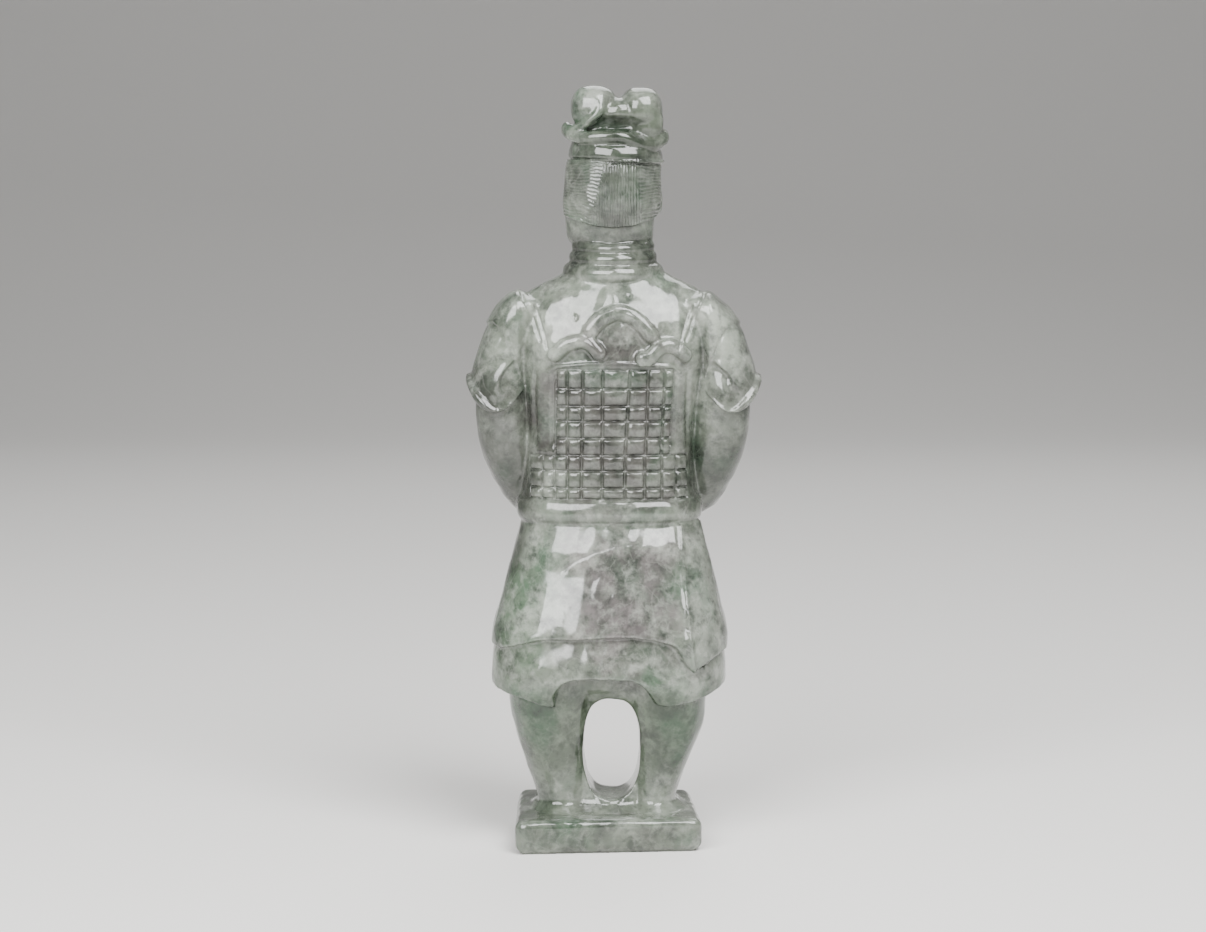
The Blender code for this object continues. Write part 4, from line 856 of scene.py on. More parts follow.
def keep_outer_skin(body):
    """Drops the small closed surfaces that the fusing leaves around pockets inside the stone."""
    with opened(body.data) as skin:
        left = set(skin.verts)
        shells = []
        while left:
            frontier = [left.pop()]
            shell = set(frontier)
            while frontier:
                vertex = frontier.pop()
                near = {edge.other_vert(vertex) for edge in vertex.link_edges} - shell
                shell |= near
                frontier += near
            left -= shell
            shells.append(shell)
        shells.sort(key=len)
        for shell in shells[:-1]:
            bmesh.ops.delete(skin, geom=list(shell), context="VERTS")


def line_distance(x, z, line):
    """Distance from each point to a line of points, and the side: above a line that runs to -x."""
    best = np.full(len(x), np.inf)
    side = np.zeros(len(x))
    for (x0, z0), (x1, z1) in zip(line, line[1:]):
        dx, dz = x1 - x0, z1 - z0
        share = np.clip(((x - x0) * dx + (z - z0) * dz) / (dx * dx + dz * dz), 0, 1)
        off_x, off_z = x - x0 - share * dx, z - z0 - share * dz
        distance = np.hypot(off_x, off_z)
        nearer = distance < best
        best = np.where(nearer, distance, best)
        side = np.where(nearer, np.sign(dz * off_x - dx * off_z), side)
    return best, side


def between(value, limits):
    return (value > limits[0]) & (value < limits[1])


def feed(tree, given, socket):
    """Gives a socket its value: another socket's, or a constant."""
    if isinstance(given, bpy.types.NodeSocket):
        tree.links.new(given, socket)
    else:
        socket.default_value = given


def wire(tree, *links):
    """Joins each pair of an output and an input."""
    for start, end in links:
        tree.links.new(start, end)


def math_node(tree, operation, *values):
    """A math node of a tree, each input a socket or a number, as its output."""
    node = tree.nodes.new("ShaderNodeMath")
    node.operation = operation
    for value, socket in zip(values, node.inputs):
        feed(tree, value, socket)
    return node.outputs[0]


def new_tree(name, kind, inputs, outputs):
    """An empty node group with sockets in rows of name, type and value, and its two end nodes."""
    tree = bpy.data.node_groups.new(name, kind)
    for way, rows in (("INPUT", inputs), ("OUTPUT", outputs)):
        for socket_name, socket_type, *value in rows:
            kind = "NodeSocket" + socket_type
            socket = tree.interface.new_socket(socket_name, in_out=way, socket_type=kind)
            if value:
                socket.default_value = value[0]
    return tree, tree.nodes.new("NodeGroupInput"), tree.nodes.new("NodeGroupOutput")


def roll_tree():
    """Geometry nodes for a carved roll: a rounded band of changing size along a line of points."""
    sizes = (("Radius", "Float"), ("Flatness", "Float"), ("Rounded Ends", "Float"), ("Sides", "Int"))
    shape = (("Geometry", "Geometry"),)
    inputs = (*shape, *sizes, ("Material", "Material"))
    tree, given, result = new_tree("carved roll", "GeometryNodeTree", inputs, shape)
    tree.is_modifier = True
    line, share, place, whole, facing, section, flattened, swept, real, clad = (
        tree.nodes.new("GeometryNode" + kind)
        for kind in ROLL_NODES
    )
    share.data_type = "FLOAT"
    share.inputs["Name"].default_value = "share"
    size = math_node(tree, "MULTIPLY", given.outputs["Radius"], share.outputs["Attribute"])
    beyond = math_node(tree, "SUBTRACT", whole.outputs["Length"], place.outputs["Length"])
    to_end = math_node(tree, "MINIMUM", place.outputs["Length"], beyond)
    from_round = math_node(tree, "SUBTRACT", 1.0, math_node(tree, "DIVIDE", to_end, size))
    from_round = math_node(tree, "MAXIMUM", from_round, 0.0)
    rounded = math_node(tree, "SUBTRACT", ROLL_END, math_node(tree, "POWER", from_round, 2.0))
    narrowed = math_node(tree, "SUBTRACT", 1.0, math_node(tree, "SQRT", rounded))
    narrowed = math_node(tree, "MULTIPLY", given.outputs["Rounded Ends"], narrowed)
    width = math_node(tree, "MULTIPLY", size, math_node(tree, "SUBTRACT", 1.0, narrowed))
    facing.mode = "Z_UP"
    section.inputs["Radius"].default_value = 1.0
    flat = tree.nodes.new("ShaderNodeCombineXYZ")
    flat.inputs["Y"].default_value = 1.0
    flat.inputs["Z"].default_value = 1.0
    swept.inputs["Fill Caps"].default_value = True
    wire(
        tree,
        (given.outputs["Geometry"], line.inputs["Mesh"]),
        (line.outputs["Curve"], facing.inputs["Curve"]),
        (facing.outputs["Curve"], swept.inputs["Curve"]),
        (given.outputs["Sides"], section.inputs["Resolution"]),
        (section.outputs["Curve"], flattened.inputs["Geometry"]),
        (given.outputs["Flatness"], flat.inputs["X"]),
        (flat.outputs["Vector"], flattened.inputs["Scale"]),
        (flattened.outputs["Geometry"], swept.inputs["Profile Curve"]),
        (width, swept.inputs["Scale"]),
        (swept.outputs["Mesh"], real.inputs["Geometry"]),
        (real.outputs["Geometry"], clad.inputs["Geometry"]),
        (given.outputs["Material"], clad.inputs["Material"]),
        (clad.outputs["Geometry"], result.inputs["Geometry"]),
    )
    return tree


def carved_roll(name, rows, radius, flatness=1.0, closed=False, points=60):
    """A roll along rows of x, y, height and share of its radius, made by the roll tree."""
    fine = through(rows, points)
    if closed:
        fine = fine[:-1]
    count = len(fine)
    edges = [(k, (k + 1) % count) for k in range(count if closed else count - 1)]
    mesh = bpy.data.meshes.new(name)
    mesh.from_pydata([figure_point(p) for p in fine[:, :3]], edges, [])
    mesh.attributes.new("share", "FLOAT", "POINT").data.foreach_set("value", fine[:, 3].copy())
    body = placed(name, mesh)
    sweep = body.modifiers.new("carved roll", "NODES")
    sweep.node_group = bpy.data.node_groups.get("carved roll") or roll_tree()
    settings = {
        "Radius": radius,
        "Flatness": flatness,
        "Rounded Ends": 0.0 if closed else 1.0,
        "Sides": ROLL_SIDES,
        "Material": bpy.data.materials["jadeite"],
    }
    for socket in sweep.node_group.interface.items_tree:
        if socket.in_out == "INPUT" and socket.name in settings:
            sweep[socket.identifier] = settings[socket.name]
    return mesh_copy(name, body)


def fused(name, pieces):
    """One fine skin over all the pieces, sampled evenly and softened."""
    points, faces = [], []
    for piece in pieces:
        start = len(points)
        points += [vertex.co.copy() for vertex in piece.data.vertices]
        faces += [tuple(start + index for index in face.vertices) for face in piece.data.polygons]
        bpy.data.objects.remove(piece)
    mesh = bpy.data.meshes.new(name)
    mesh.from_pydata(points, [], faces)
    body = placed(name, mesh)
    skin = body.modifiers.new("one skin", "REMESH")
    skin.mode = "VOXEL"
    skin.voxel_size = FINE_GRAIN
    soften = body.modifiers.new("softened", "SMOOTH")
    soften.factor = 0.5
    soften.iterations = FINE_SOFTENING
    return mesh_copy(name, body)


def drawn_points(points):
    """Places in metres as columns x, y and height of the drawing."""
    x, y = points[:, 0] / UNIT, points[:, 1] / UNIT
    return x, y, (points[:, 2] - PLINTH_HEIGHT) / UNIT + DRAWN_FOOT


def refine(body):
    """Splits the skin's faces where hair and plates are carved."""
    with opened(body.data) as skin:
        edges = []
        for edge in skin.edges:
            _, y, z = edge.verts[0].co / UNIT
            z += DRAWN_FOOT - PLINTH_HEIGHT / UNIT
            hair = y > HAIR_FADE[0] and HAIR_HEIGHTS[0] < z < HAIR_HEIGHTS[1]
            panel = y > BACK_DEPTHS[0] and TRUNK_HEIGHTS[0] < z < TRUNK_HEIGHTS[1]
            if hair or panel:
                edges.append(edge)
        bmesh.ops.subdivide_edges(skin, edges=edges, cuts=1, use_grid_fill=True)


def from_ends(x, z, line):
    """Distance from each point to the nearer end of a line."""
    return np.minimum(*(np.hypot(x - end_x, z - end_z) for end_x, end_z in (line[0], line[-1])))


def crease(x, z, line, width, depth):
    """A soft groove along a line that fades out at both its ends."""
    distance, _ = line_distance(x, z, line)
    fade = ramp(from_ends(x, z, line), 0, CREASE_FADE * drawn(width))
    return -drawn(depth) * np.exp(-((distance / drawn(width) * CREASE_SHARPNESS) ** 2)) * fade


def fold(x, z, line):
    """A step along a line: the cloth below it lies lower, and rises again further down."""
    distance, side = line_distance(x, z, line)
    hollow = ramp(distance * side, -EDGE, 3 * EDGE) * np.exp(-((distance / drawn(FOLD_REACH)) ** 2))
    ridge = drawn(FOLD_RIDGE) * np.exp(-((3 * distance / drawn(FOLD_REACH)) ** 2))
    return (ridge - drawn(FOLD_DEPTH) * hollow) * ramp(from_ends(x, z, line), 0, drawn(FOLD_REACH))


def relief(x, y, z, normal_y):
    """How far each drawn point of the skin moves outwards, in the units of the drawing."""
    back, front = normal_y > FACING, normal_y < -FACING
    lift = np.zeros(len(x))
    trunk = (np.abs(x) < TRUNK_HALF_WIDTH) & between(z, TRUNK_HEIGHTS)
    for side, depths, seams_top, seams_foot, rows in (
        (back, BACK_DEPTHS, BACK_SEAMS_TOP, BACK_SEAMS_FOOT, BACK_ROWS),
        (back, WAIST_DEPTHS, WAIST_SEAMS, WAIST_SEAMS, WAIST_ROWS),
        (front, FRONT_DEPTHS, FRONT_SEAMS, FRONT_SEAMS, FRONT_ROWS),
    ):
        lift += panel_relief(x, z, side & trunk & between(y, depths), seams_top, seams_foot, rows)
    lift += apron_relief(x, z, front & between(z, APRON_HEIGHTS) & between(y, APRON_DEPTHS))
    shoulders = between(z, SHOULDER_HEIGHTS)
    for across in (x, 2 * TRUNK_CENTRE - x):
        for line in (STRAP_OUTER, STRAP_INNER):
            distance, _ = line_distance(across, z, line)
            lift += np.where(shoulders & (np.abs(normal_y) > FACING / 2), seam(distance), 0)
        distance, side = line_distance(across, z, GUARD_EDGE)
        raised = drawn(GUARD_RISE) * ramp(distance * side, -EDGE, EDGE) * ramp(across, *GUARD_FADE)
        lift += np.where(shoulders, raised, 0)
    distance, side = line_distance(x, z, FLAP_EDGE)
    flap = back & between(z, FLAP_HEIGHTS) & (x < FLAP_START)
    raised = drawn(FLAP_RISE) * ramp(distance * side, -EDGE, EDGE) * (1 - ramp(-x, *FLAP_FADE))
    ridge = drawn(FLAP_RIDGE) * np.exp(-((distance / drawn(FLAP_RIDGE_WIDTH)) ** 2))
    lift += np.where(flap, raised + ridge, 0)
    distance, side = line_distance(x, z, HAIR_EDGE)
    above = distance * side
    hair = drawn(HAIR_RISE) * ramp(above, -EDGE, EDGE) * ramp(y, *HAIR_FADE)
    lift += np.where(between(z, HAIR_HEIGHTS), hair + hair_relief(x, y, z, above), 0)
    distance, _ = line_distance(x, z, PANEL_LIP)
    lip = drawn(LIP_RISE) * np.exp(-((2 * distance / drawn(LIP_WIDTH)) ** 2))
    lift += np.where(back & (y > BACK_DEPTHS[0]), lip, 0)
    for line in BACK_CREASES:
        lift += np.where(back & (y > 0), crease(x, z, line, CREASE_WIDTH, CREASE_DEPTH), 0)
    for line in SLEEVE_FOLDS:
        lift += np.where(back & (y > 0), fold(x, z, line), 0)
    lift += np.where(back, crease(x, z, ROBE_CREASE, CREASE_WIDTH / 2, CREASE_DEPTH / 2), 0)
    under_band = z - HEADBAND[-1][0] - HEADBAND_SLOPE * x
    line_depth = drawn(BAND_LINE_DEPTH) * (1 - ramp(np.abs(under_band), 0, drawn(BAND_LINE_WIDTH)))
    lift -= np.where(between(z, HEAD_HEIGHTS), line_depth, 0)
    for centre_x, height, half_width, half_height, depth in PITS:
        reach = np.hypot((x - centre_x) / half_width, (z - height) / half_height)
        lift -= np.where(back, depth * (1 - ramp(reach, PIT_FLOOR, 1.0)), 0)
    return lift


def panel_relief(x, z, on_side, seams_top, seams_foot, rows):
    """Plates of a panel: each a small cushion, a little out of true, between crisp grooves."""
    chance = np.random.default_rng(len(seams_top))
    lift = np.zeros(len(x))
    within = np.flatnonzero(on_side & inside(x, z, seams_top, seams_foot, rows))
    x, z = x[within], z[within]
    down = (rows[0] - z) / (rows[0] - rows[-1])
    seams = np.array(seams_top)[:, None] + (np.array(seams_foot) - np.array(seams_top))[:, None] * down
    column = (seams > x).sum(axis=0) - 1
    row = np.searchsorted(-np.array(rows), -z) - 1
    left, right = (np.take_along_axis(seams, (column + k)[None], axis=0)[0] for k in (0, 1))
    high, low = np.array(rows)[row], np.array(rows)[row + 1]
    across, up = (2 * x - left - right) / (left - right), (2 * z - high - low) / (high - low)
    tilts = chance.uniform(-1, 1, (len(seams_top), len(rows), 3))
    tilt_x, tilt_z, sunk = tilts[column, row].T
    dome = (1 - across**2) * (1 - up**2)
    half_x, half_z = (left - right) / 2, (high - low) / 2
    skewed = PLATE_TILT * (tilt_x * across * half_x + tilt_z * up * half_z)
    edge = np.minimum((1 - np.abs(across)) * half_x, (1 - np.abs(up)) * half_z)
    groove = drawn(FINE_GROOVE_DEPTH) * (1 - ramp(edge, 0, drawn(FINE_GROOVE_WIDTH)))
    rise = drawn(PANEL_RISE) * (1 - PLATE_SINK + PLATE_SINK * sunk)
    lift[within] = rise + skewed + drawn(PILLOW) * dome - groove
    return lift


def seam(distance):
    """A groove of the seams' depth and width."""
    return -drawn(SEAM_DEPTH) * (1 - ramp(distance, 0, drawn(SEAM_WIDTH)))


def inside(x, z, seams_top, seams_foot, rows):
    """True for points within a panel."""
    down = (rows[0] - z) / (rows[0] - rows[-1])
    low = seams_top[-1] + (seams_foot[-1] - seams_top[-1]) * down
    high = seams_top[0] + (seams_foot[0] - seams_top[0]) * down
    return (x > low) & (x < high) & (z > rows[-1]) & (z < rows[0])


def apron_relief(x, z, front):
    """The pointed apron of plates below the belt in front."""
    half = APRON_HALF_WIDTH * np.clip((z - APRON_TIP) / (APRON_TOP - APRON_TIP), 0, 1) ** APRON_BOW
    within = front & (np.abs(x) < half) & (z < APRON_TOP)
    edge = np.minimum(half - np.abs(x), np.abs(z - APRON_TIP))
    rows = np.min([np.abs(z - row) for row in APRON_ROWS], axis=0)
    seams = np.min([np.abs(x - seam_x) for seam_x in FRONT_SEAMS], axis=0)
    depth = drawn(PLATE_GROOVE_DEPTH)
    grooves = 1 - ramp(np.minimum(rows, seams), 0, drawn(PLATE_GROOVE_WIDTH))
    raised = drawn(APRON_RISE) * ramp(edge, 0, drawn(APRON_RISE)) - depth * grooves
    return np.where(within, np.maximum(raised, 0), 0)


def wave(value):
    """From 0 to 1 and back for each whole step of the value."""
    return 0.5 - 0.5 * np.cos(2 * math.pi * value)


def hair_relief(x, y, z, above):
    """Grooves of the hair: upright down the middle of the back of the head, drooping at the sides."""
    (top, top_left, top_right), (foot, foot_left, foot_right) = HAIR_STRIP
    down = (top - z) / (top - foot)
    left, right = top_left + (foot_left - top_left) * down, top_right + (foot_right - top_right) * down
    outward = np.maximum(x - left, right - x)
    middle = 1 - ramp(outward, -HAIR_STRIP_BLEND, HAIR_STRIP_BLEND)
    strays = sum(reach * np.sin(across * x + along * z) for reach, across, along in HAIR_STRAYS)
    slope = SIDE_HAIR_SLOPES[0] + (SIDE_HAIR_SLOPES[1] - SIDE_HAIR_SLOPES[0]) * np.clip(down, 0, 1)
    strand = z + slope * np.maximum(outward, 0) + strays
    upright_wave = wave((x + UPRIGHT_STRAY * strays) / drawn(HAIR_GROOVE_PITCH))
    depth = drawn(HAIR_GROOVE_DEPTH) * middle * upright_wave
    depth += drawn(SIDE_GROOVE_DEPTH) * (1 - middle) * wave(strand / drawn(SIDE_GROOVE_PITCH))
    return -depth * ramp(above, *HAIR_EDGE_FADE) * ramp(y, *HAIR_SIDE_FADE)


def waves(points, wavelength, seed):
    """Plane waves in chance directions, added up."""
    chance = np.random.default_rng(seed)
    total = np.zeros(len(points))
    for way, phase in zip(chance.normal(size=(WAVE_COUNT, 3)), chance.uniform(0, 2 * math.pi, WAVE_COUNT)):
        total += np.sin(points @ (way * (2 * math.pi / wavelength / WAVE_SPREAD)) + phase)
    return total


def polish(points):
    """The slight waviness of a surface polished by hand, rippled in some places, in metres."""
    broad = waves(points, POLISH_WAVELENGTH, POLISH_SEED)
    fine = waves(points, RIPPLE_LENGTH, RIPPLE_SEED)
    return POLISH_WAVE * broad + RIPPLE * fine * ramp(broad, *RIPPLE_FADE)


def vertex_values(mesh, name):
    """One vector of every vertex, as rows of three."""
    values = np.empty(3 * len(mesh.vertices))
    mesh.vertices.foreach_get(name, values)
    return values.reshape(-1, 3)


def move_points(mesh, points):
    """Moves the vertices to these points, kept within the solid's box."""
    mesh.vertices.foreach_set("co", np.clip(points, *np.array(cad_bounds)).ravel())
    mesh.update()


def carve(body):
    """Moves the skin's points by the relief, and lays the plinth's underside flat on the floor."""
    points, normals = (vertex_values(body.data, name) for name in ("co", "normal"))
    x, y, z = drawn_points(points)
    lift = relief(x, y, z, normals[:, 1]) * UNIT + polish(points)
    points += normals * lift[:, None]
    points[:, 2] = np.where(points[:, 2] < FINE_GRAIN, 0, points[:, 2])
    move_points(body.data, points)


def thin(body):
    """Thins the skin to its triangles, and keeps their points within the solid's box."""
    triangles = 2 * len(body.data.polygons)
    facets = body.modifiers.new("facets", "DECIMATE")
    facets.ratio = min(1.0, FINE_TRIANGLES / triangles)
    facets.use_collapse_triangulate = True
    thinned = mesh_copy(body.name, body)
    move_points(thinned.data, vertex_values(thinned.data, "co"))
    return thinned


def make_soldier():
    pieces = [make_plinth(), upright("torso", TORSO)]
    for make_pieces in (make_legs, make_boots, make_robes, make_arms, make_hands):
        pieces += make_pieces()
    for make_pieces in (make_scarf, make_head, make_cap, make_ribbons):
        pieces += make_pieces()
    soldier = fused("carved_soldier", pieces)
    keep_outer_skin(soldier)
    refine(soldier)
    carve(soldier)
    soldier = thin(soldier)
    soldier.data.shade_smooth()
    return soldier


# Sockets that the stone's groups share, and values of their noise.
NOISE_SOCKETS = (("Place", "Vector"), ("Size", "Float"), ("Detail", "Float"), ("Warp", "Float"))
MASK_SOCKET = (("Mask", "Float"),)
NOISE_MIDDLE = 0.5
CLOUD_ROUGHNESS = 0.62
VEIN_ROUGHNESS = 0.5
# A zone's noise: size, detail, warp and roughness. Its mask fades from the outer to the inner reach.
ZONE_NOISE = (62.0, 5.0, 0.0, 0.6)
ZONE_EDGES = (1.25, 0.55)


def noise_node(group, place, size, detail, warp, roughness):
    """Noise, each of its values a socket or a number, as its output."""
    noise = group.nodes.new("ShaderNodeTexNoise")
    values = {"Vector": place, "Scale": size, "Detail": detail, "Distortion": warp, "Roughness": roughness}
    for name, value in values.items():
        feed(group, value, noise.inputs[name])
    return noise.outputs["Fac"]


def finish_mask(group, value, low, high, result):
    """The group's mask: it rises smoothly from 0 where the value is low to 1 where it is high."""
    edges = group.nodes.new("ShaderNodeMapRange")
    edges.interpolation_type = "SMOOTHSTEP"
    for name, given in (("Value", value), ("From Min", low), ("From Max", high)):
        feed(group, given, edges.inputs[name])
    wire(group, (edges.outputs["Result"], result.inputs["Mask"]))


def cloud_group():
    """Soft-edged clouds in the stone: a mask from noise at one size."""
    sockets = (*NOISE_SOCKETS, ("Low", "Float"), ("High", "Float"))
    group, given, result = new_tree("stone clouds", "ShaderNodeTree", sockets, MASK_SOCKET)
    *noise_values, low, high = (given.outputs[name] for name, _ in sockets)
    finish_mask(group, noise_node(group, *noise_values, CLOUD_ROUGHNESS), low, high, result)
    return group


def vein_group():
    """Thin veins in the stone: a mask along the lines where noise crosses its middle."""
    sockets = (*NOISE_SOCKETS, ("Width", "Float"))
    group, given, result = new_tree("stone veins", "ShaderNodeTree", sockets, MASK_SOCKET)
    *noise_values, width = (given.outputs[name] for name, _ in sockets)
    off_middle = math_node(group, "SUBTRACT", noise_node(group, *noise_values, VEIN_ROUGHNESS), NOISE_MIDDLE)
    finish_mask(group, math_node(group, "ABSOLUTE", off_middle), width, 0.0, result)
    return group


def zone_group():
    """A broad zone, for the stone's colour zones and for its painted shade: a mask that fades out unevenly
    from a centre.
    """
    sockets = (("Place", "Vector"), ("Centre", "Vector"), ("Reach", "Vector"), ("Raggedness", "Float"))
    group, given, result = new_tree("zone of stone colour and painted shade", "ShaderNodeTree", sockets, MASK_SOCKET)
    place, centre, reach, raggedness = (given.outputs[name] for name, _ in sockets)
    offset, scaled, length = (group.nodes.new("ShaderNodeVectorMath") for _ in range(3))
    offset.operation, scaled.operation, length.operation = "SUBTRACT", "DIVIDE", "LENGTH"
    wire(
        group,
        (place, offset.inputs[0]),
        (centre, offset.inputs[1]),
        (offset.outputs["Vector"], scaled.inputs[0]),
        (reach, scaled.inputs[1]),
        (scaled.outputs["Vector"], length.inputs[0]),
    )
    ragged = math_node(group, "SUBTRACT", noise_node(group, place, *ZONE_NOISE), NOISE_MIDDLE)
    ragged = math_node(group, "MULTIPLY", ragged, raggedness)
    finish_mask(group, math_node(group, "ADD", length.outputs["Value"], ragged), *ZONE_EDGES, result)
    return group


# Constants of the stone's shader, and the colour of its ground.
STONE_SURFACE = {
    "Roughness": 0.10,
    "IOR": 1.60,
    "Subsurface Weight": 0.10,
    "Subsurface Radius": (0.8, 1.0, 0.8),
    "Subsurface Scale": 0.002,
}
STONE_BASE = (0.118, 0.134, 0.108)
# Broad zones: colour, share, centre and reach in metres, raggedness.
STONE_ZONES = (
    ("lavender robe", (0.122, 0.106, 0.107), 0.85, (-0.004, 0.024, 0.086), (0.024, 0.030, 0.026), 2.6),
    ("lavender back", (0.086, 0.077, 0.075), 0.80, (0.000, 0.020, 0.142), (0.024, 0.030, 0.030), 2.8),
    ("green robe left", (0.082, 0.118, 0.078), 0.80, (0.034, 0.010, 0.082), (0.014, 0.030, 0.030), 2.2),
    ("pale robe right", (0.185, 0.198, 0.172), 0.75, (-0.031, 0.014, 0.084), (0.009, 0.030, 0.030), 2.0),
    ("pale right sleeve", (0.230, 0.252, 0.214), 0.70, (-0.037, 0.010, 0.160), (0.013, 0.030, 0.022), 1.8),
    ("green left leg", (0.040, 0.092, 0.050), 0.75, (0.030, 0.012, 0.044), (0.011, 0.030, 0.012), 2.8),
    ("green right leg", (0.034, 0.090, 0.046), 0.80, (-0.026, 0.012, 0.042), (0.010, 0.030, 0.016), 2.8),
)
# Zones darkened over the clouds, partly darker stone and partly painted shade: the colour that multiplies
# them, and the same values.
DARK_STONE_AND_PAINTED_SHADE = (
    # Painted shade on the arms, which face aside under the sleeves, over their darker grey stone.
    ("left arm", (0.28, 0.27, 0.27), 0.90, (0.039, 0.004, 0.124), (0.016, 0.040, 0.034), 1.4),
    ("right arm", (0.32, 0.33, 0.31), 0.90, (-0.038, 0.004, 0.124), (0.015, 0.040, 0.034), 1.4),
    # Painted shade on the legs under the robe and on the robe's hem just above them, over their darker stone.
    ("legs", (0.40, 0.46, 0.38), 0.90, (0.000, 0.010, 0.040), (0.060, 0.060, 0.018), 1.6),
    # Deeper painted shade on the right leg.
    ("right leg", (0.62, 0.70, 0.62), 0.80, (-0.020, 0.010, 0.040), (0.012, 0.060, 0.018), 2.4),
    ("plinth corner", (0.24, 0.30, 0.24), 0.80, (0.032, 0.010, 0.014), (0.010, 0.012, 0.006), 3.4),
    ("hair", (0.34, 0.35, 0.34), 0.80, (-0.002, 0.014, 0.222), (0.016, 0.030, 0.020), 1.8),
    # Painted shade on the neck, under the head.
    ("neck", (0.42, 0.43, 0.41), 0.85, (0.000, 0.010, 0.198), (0.022, 0.030, 0.010), 1.6),
    ("back panel", (0.44, 0.45, 0.43), 0.85, (-0.001, 0.020, 0.138), (0.032, 0.030, 0.028), 1.8),
    ("crown", (0.50, 0.54, 0.48), 0.85, (-0.002, 0.012, 0.238), (0.022, 0.030, 0.010), 1.8),
    ("plinth", (0.66, 0.68, 0.64), 0.90, (0.004, 0.010, 0.006), (0.036, 0.050, 0.008), 1.6),
)
# Clouds over them all: colour, share, noise size, detail, warp, low and high edge.
STONE_LAYERS = (
    ("green drift", (0.026, 0.072, 0.036), 0.62, 36.0, 5.0, 0.3, 0.47, 0.68),
    ("grey drift", (0.040, 0.036, 0.036), 0.60, 56.0, 6.0, 0.3, 0.46, 0.68),
    ("pale cloud", (0.290, 0.312, 0.270), 0.60, 82.0, 6.0, 0.2, 0.46, 0.70),
    ("dark cloud", (0.012, 0.018, 0.013), 0.70, 125.0, 7.0, 0.2, 0.46, 0.70),
    ("pale veil", (0.320, 0.335, 0.300), 0.40, 230.0, 7.0, 0.2, 0.46, 0.72),
    ("dark fleck", (0.014, 0.018, 0.015), 0.50, 330.0, 7.0, 0.2, 0.47, 0.72),
)
# Thin pale veins: colour, share, noise size, detail, warp and width.
STONE_VEINS = (
    ("long veins", (0.300, 0.315, 0.280), 0.12, 26.0, 3.0, 0.3, 0.012),
    ("fine veins", (0.280, 0.295, 0.260), 0.14, 90.0, 5.0, 0.3, 0.020),
)


def jadeite():
    """Polished mottled jadeite: a pale grey-green ground under zones, clouds and veins, then darker zones
    that are partly the stone's own and partly painted shade.
    """
    material = bpy.data.materials.new("jadeite")
    material.use_nodes = True
    tree = material.node_tree
    shader = tree.nodes["Principled BSDF"]
    for name, value in STONE_SURFACE.items():
        shader.inputs[name].default_value = value
    place = tree.nodes.new("ShaderNodeTexCoord").outputs["Object"]
    below = tree.nodes.new("ShaderNodeRGB").outputs[0]
    below.default_value = (*STONE_BASE, 1.0)
    zones = zone_group()
    zone_sockets = ("Centre", "Reach", "Raggedness")
    for group, rows, blend, sockets in (
        (zones, STONE_ZONES, "MIX", zone_sockets),
        (cloud_group(), STONE_LAYERS, "MIX", ("Size", "Detail", "Warp", "Low", "High")),
        (vein_group(), STONE_VEINS, "MIX", ("Size", "Detail", "Warp", "Width")),
        # Last come the darker zones, partly the stone's own and partly painted shade.
        (zones, DARK_STONE_AND_PAINTED_SHADE, "MULTIPLY", zone_sockets),
    ):
        for name, tint, share, *values in rows:
            layer, mix = (tree.nodes.new(kind) for kind in ("ShaderNodeGroup", "ShaderNodeMix"))
            layer.node_tree = group
            layer.label = name
            for socket, value in zip(sockets, values):
                layer.inputs[socket].default_value = value
            mix.data_type = "RGBA"
            mix.blend_type = blend
            mix.inputs["B"].default_value = (*tint, 1.0)
            factor = math_node(tree, "MULTIPLY", layer.outputs["Mask"], share)
            wire(tree, (place, layer.inputs["Place"]), (factor, mix.inputs["Factor"]))
            wire(tree, (below, mix.inputs["A"]))
            below = mix.outputs["Result"]
    wire(tree, (below, shader.inputs["Base Color"]))
    return material


# The floor's half width, and its line from in front of the figure to where it sweeps up far behind.
FLOOR_HALF_WIDTH = 8.0
FLOOR_NEAR = 8.0
FLOOR_BEND_START = -1.4
FLOOR_BEND_RADIUS = 1.6
FLOOR_BEND_STEPS = 24
FLOOR_COLOUR = (0.70, 0.69, 0.67)
FLOOR_ROUGHNESS = 0.6
WORLD_LIGHT = 0.17


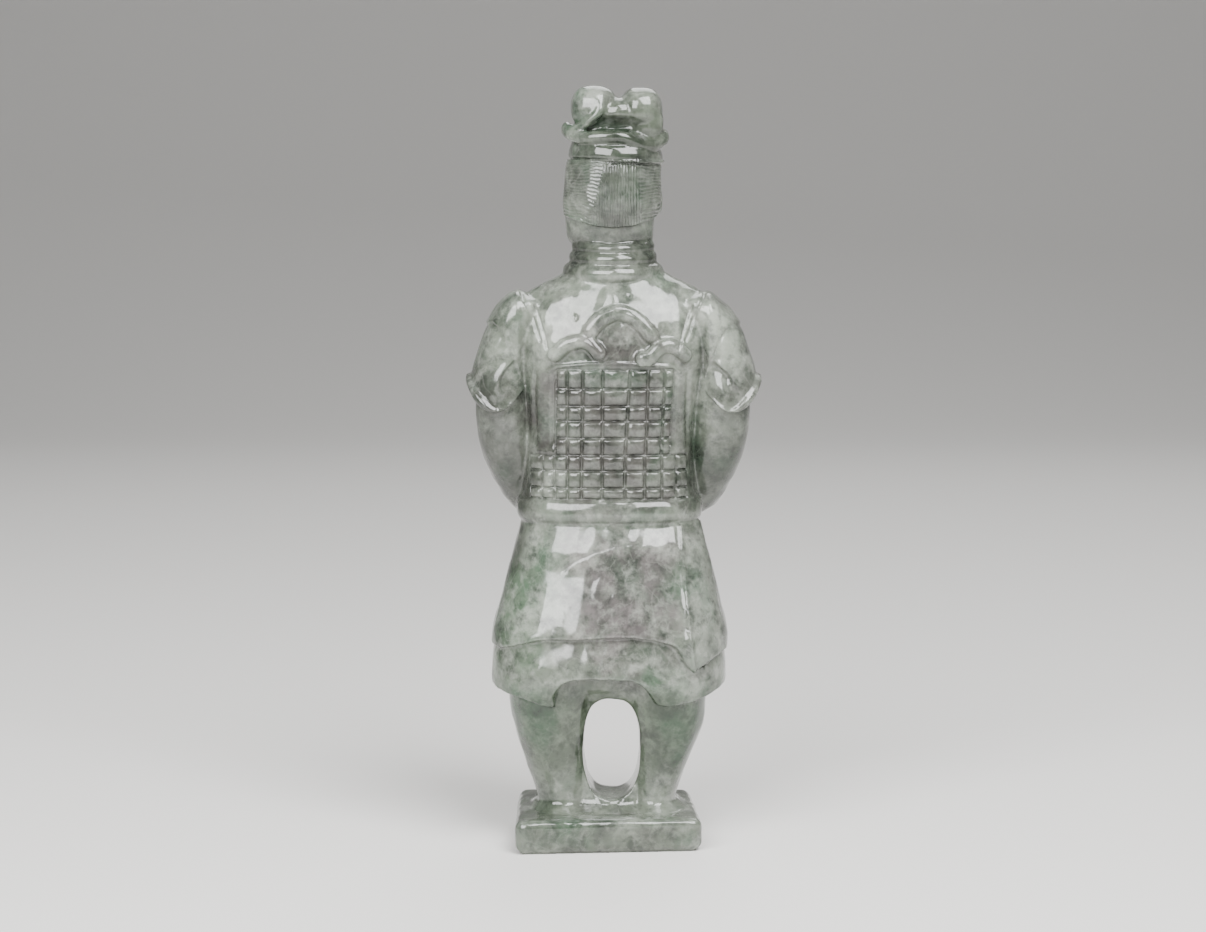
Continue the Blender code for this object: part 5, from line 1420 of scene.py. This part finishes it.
def make_floor():
    """A pale floor that sweeps up far behind the figure, so that no horizon crosses the picture."""
    angles = [k / FLOOR_BEND_STEPS * math.pi / 2 for k in range(FLOOR_BEND_STEPS + 1)]
    line = [(FLOOR_NEAR, 0.0)] + [
        (FLOOR_BEND_START - FLOOR_BEND_RADIUS * math.sin(a), FLOOR_BEND_RADIUS * (1 - math.cos(a)))
        for a in angles
    ]
    mesh = bpy.data.meshes.new("floor")
    points = [(side * FLOOR_HALF_WIDTH, y, z) for y, z in line for side in (-1, 1)]
    mesh.from_pydata(points, [], [(k, k + 1, k + 3, k + 2) for k in range(0, len(points) - 2, 2)])
    mesh.shade_smooth()
    material = bpy.data.materials.new("pale floor")
    material.use_nodes = True
    shader = material.node_tree.nodes["Principled BSDF"]
    shader.inputs["Base Color"].default_value = (*FLOOR_COLOUR, 1.0)
    shader.inputs["Roughness"].default_value = FLOOR_ROUGHNESS
    mesh.materials.append(material)
    placed("floor", mesh)


# Softboxes: azimuth seen from the figure's back, elevation, distance, width, height and power.
SOFTBOXES = (
    ("left softbox", -27.0, 29.0, 1.2, 0.74, 0.84, 29.0),
    ("right softbox", 31.0, 47.0, 1.2, 0.66, 0.95, 34.0),
    ("front fill", 170.0, 45.0, 1.5, 0.9, 0.9, 9.0),
)


def make_lights():
    world = bpy.data.worlds.new("pale studio")
    world.use_nodes = True
    sky = world.node_tree.nodes["Background"]
    sky.inputs["Color"].default_value = (1.0, 1.0, 1.0, 1.0)
    sky.inputs["Strength"].default_value = WORLD_LIGHT
    bpy.context.scene.world = world
    target = Vector((0, 0, (PLINTH_HEIGHT + FIGURE_HEIGHT) / 2))
    for name, azimuth, elevation, distance, width, height, power in SOFTBOXES:
        light = bpy.data.lights.new(name, "AREA")
        light.shape = "RECTANGLE"
        light.size, light.size_y = width, height
        light.energy = power
        lamp = placed(name, light)
        a, e = math.radians(azimuth), math.radians(elevation)
        way = Vector((-math.sin(a) * math.cos(e), math.cos(a) * math.cos(e), math.sin(e)))
        lamp.location = target + way * distance
        lamp.rotation_euler = (-way).to_track_quat("-Z", "Y").to_euler()


def make_camera():
    camera = placed("photo viewpoint", bpy.data.cameras.new("photo viewpoint"))
    camera.data.lens = LENS
    camera.data.sensor_width = SENSOR
    camera.location = CAMERA_PLACE
    camera.rotation_euler = (math.pi / 2 - CAMERA_PITCH, 0, math.pi)
    bpy.context.scene.camera = camera


make_camera()
make_lights()
make_floor()
stone = jadeite()
soldier = make_soldier()
soldier.data.materials.clear()
soldier.data.materials.append(stone)
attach(soldier, "root")
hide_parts("soldier_figurine")
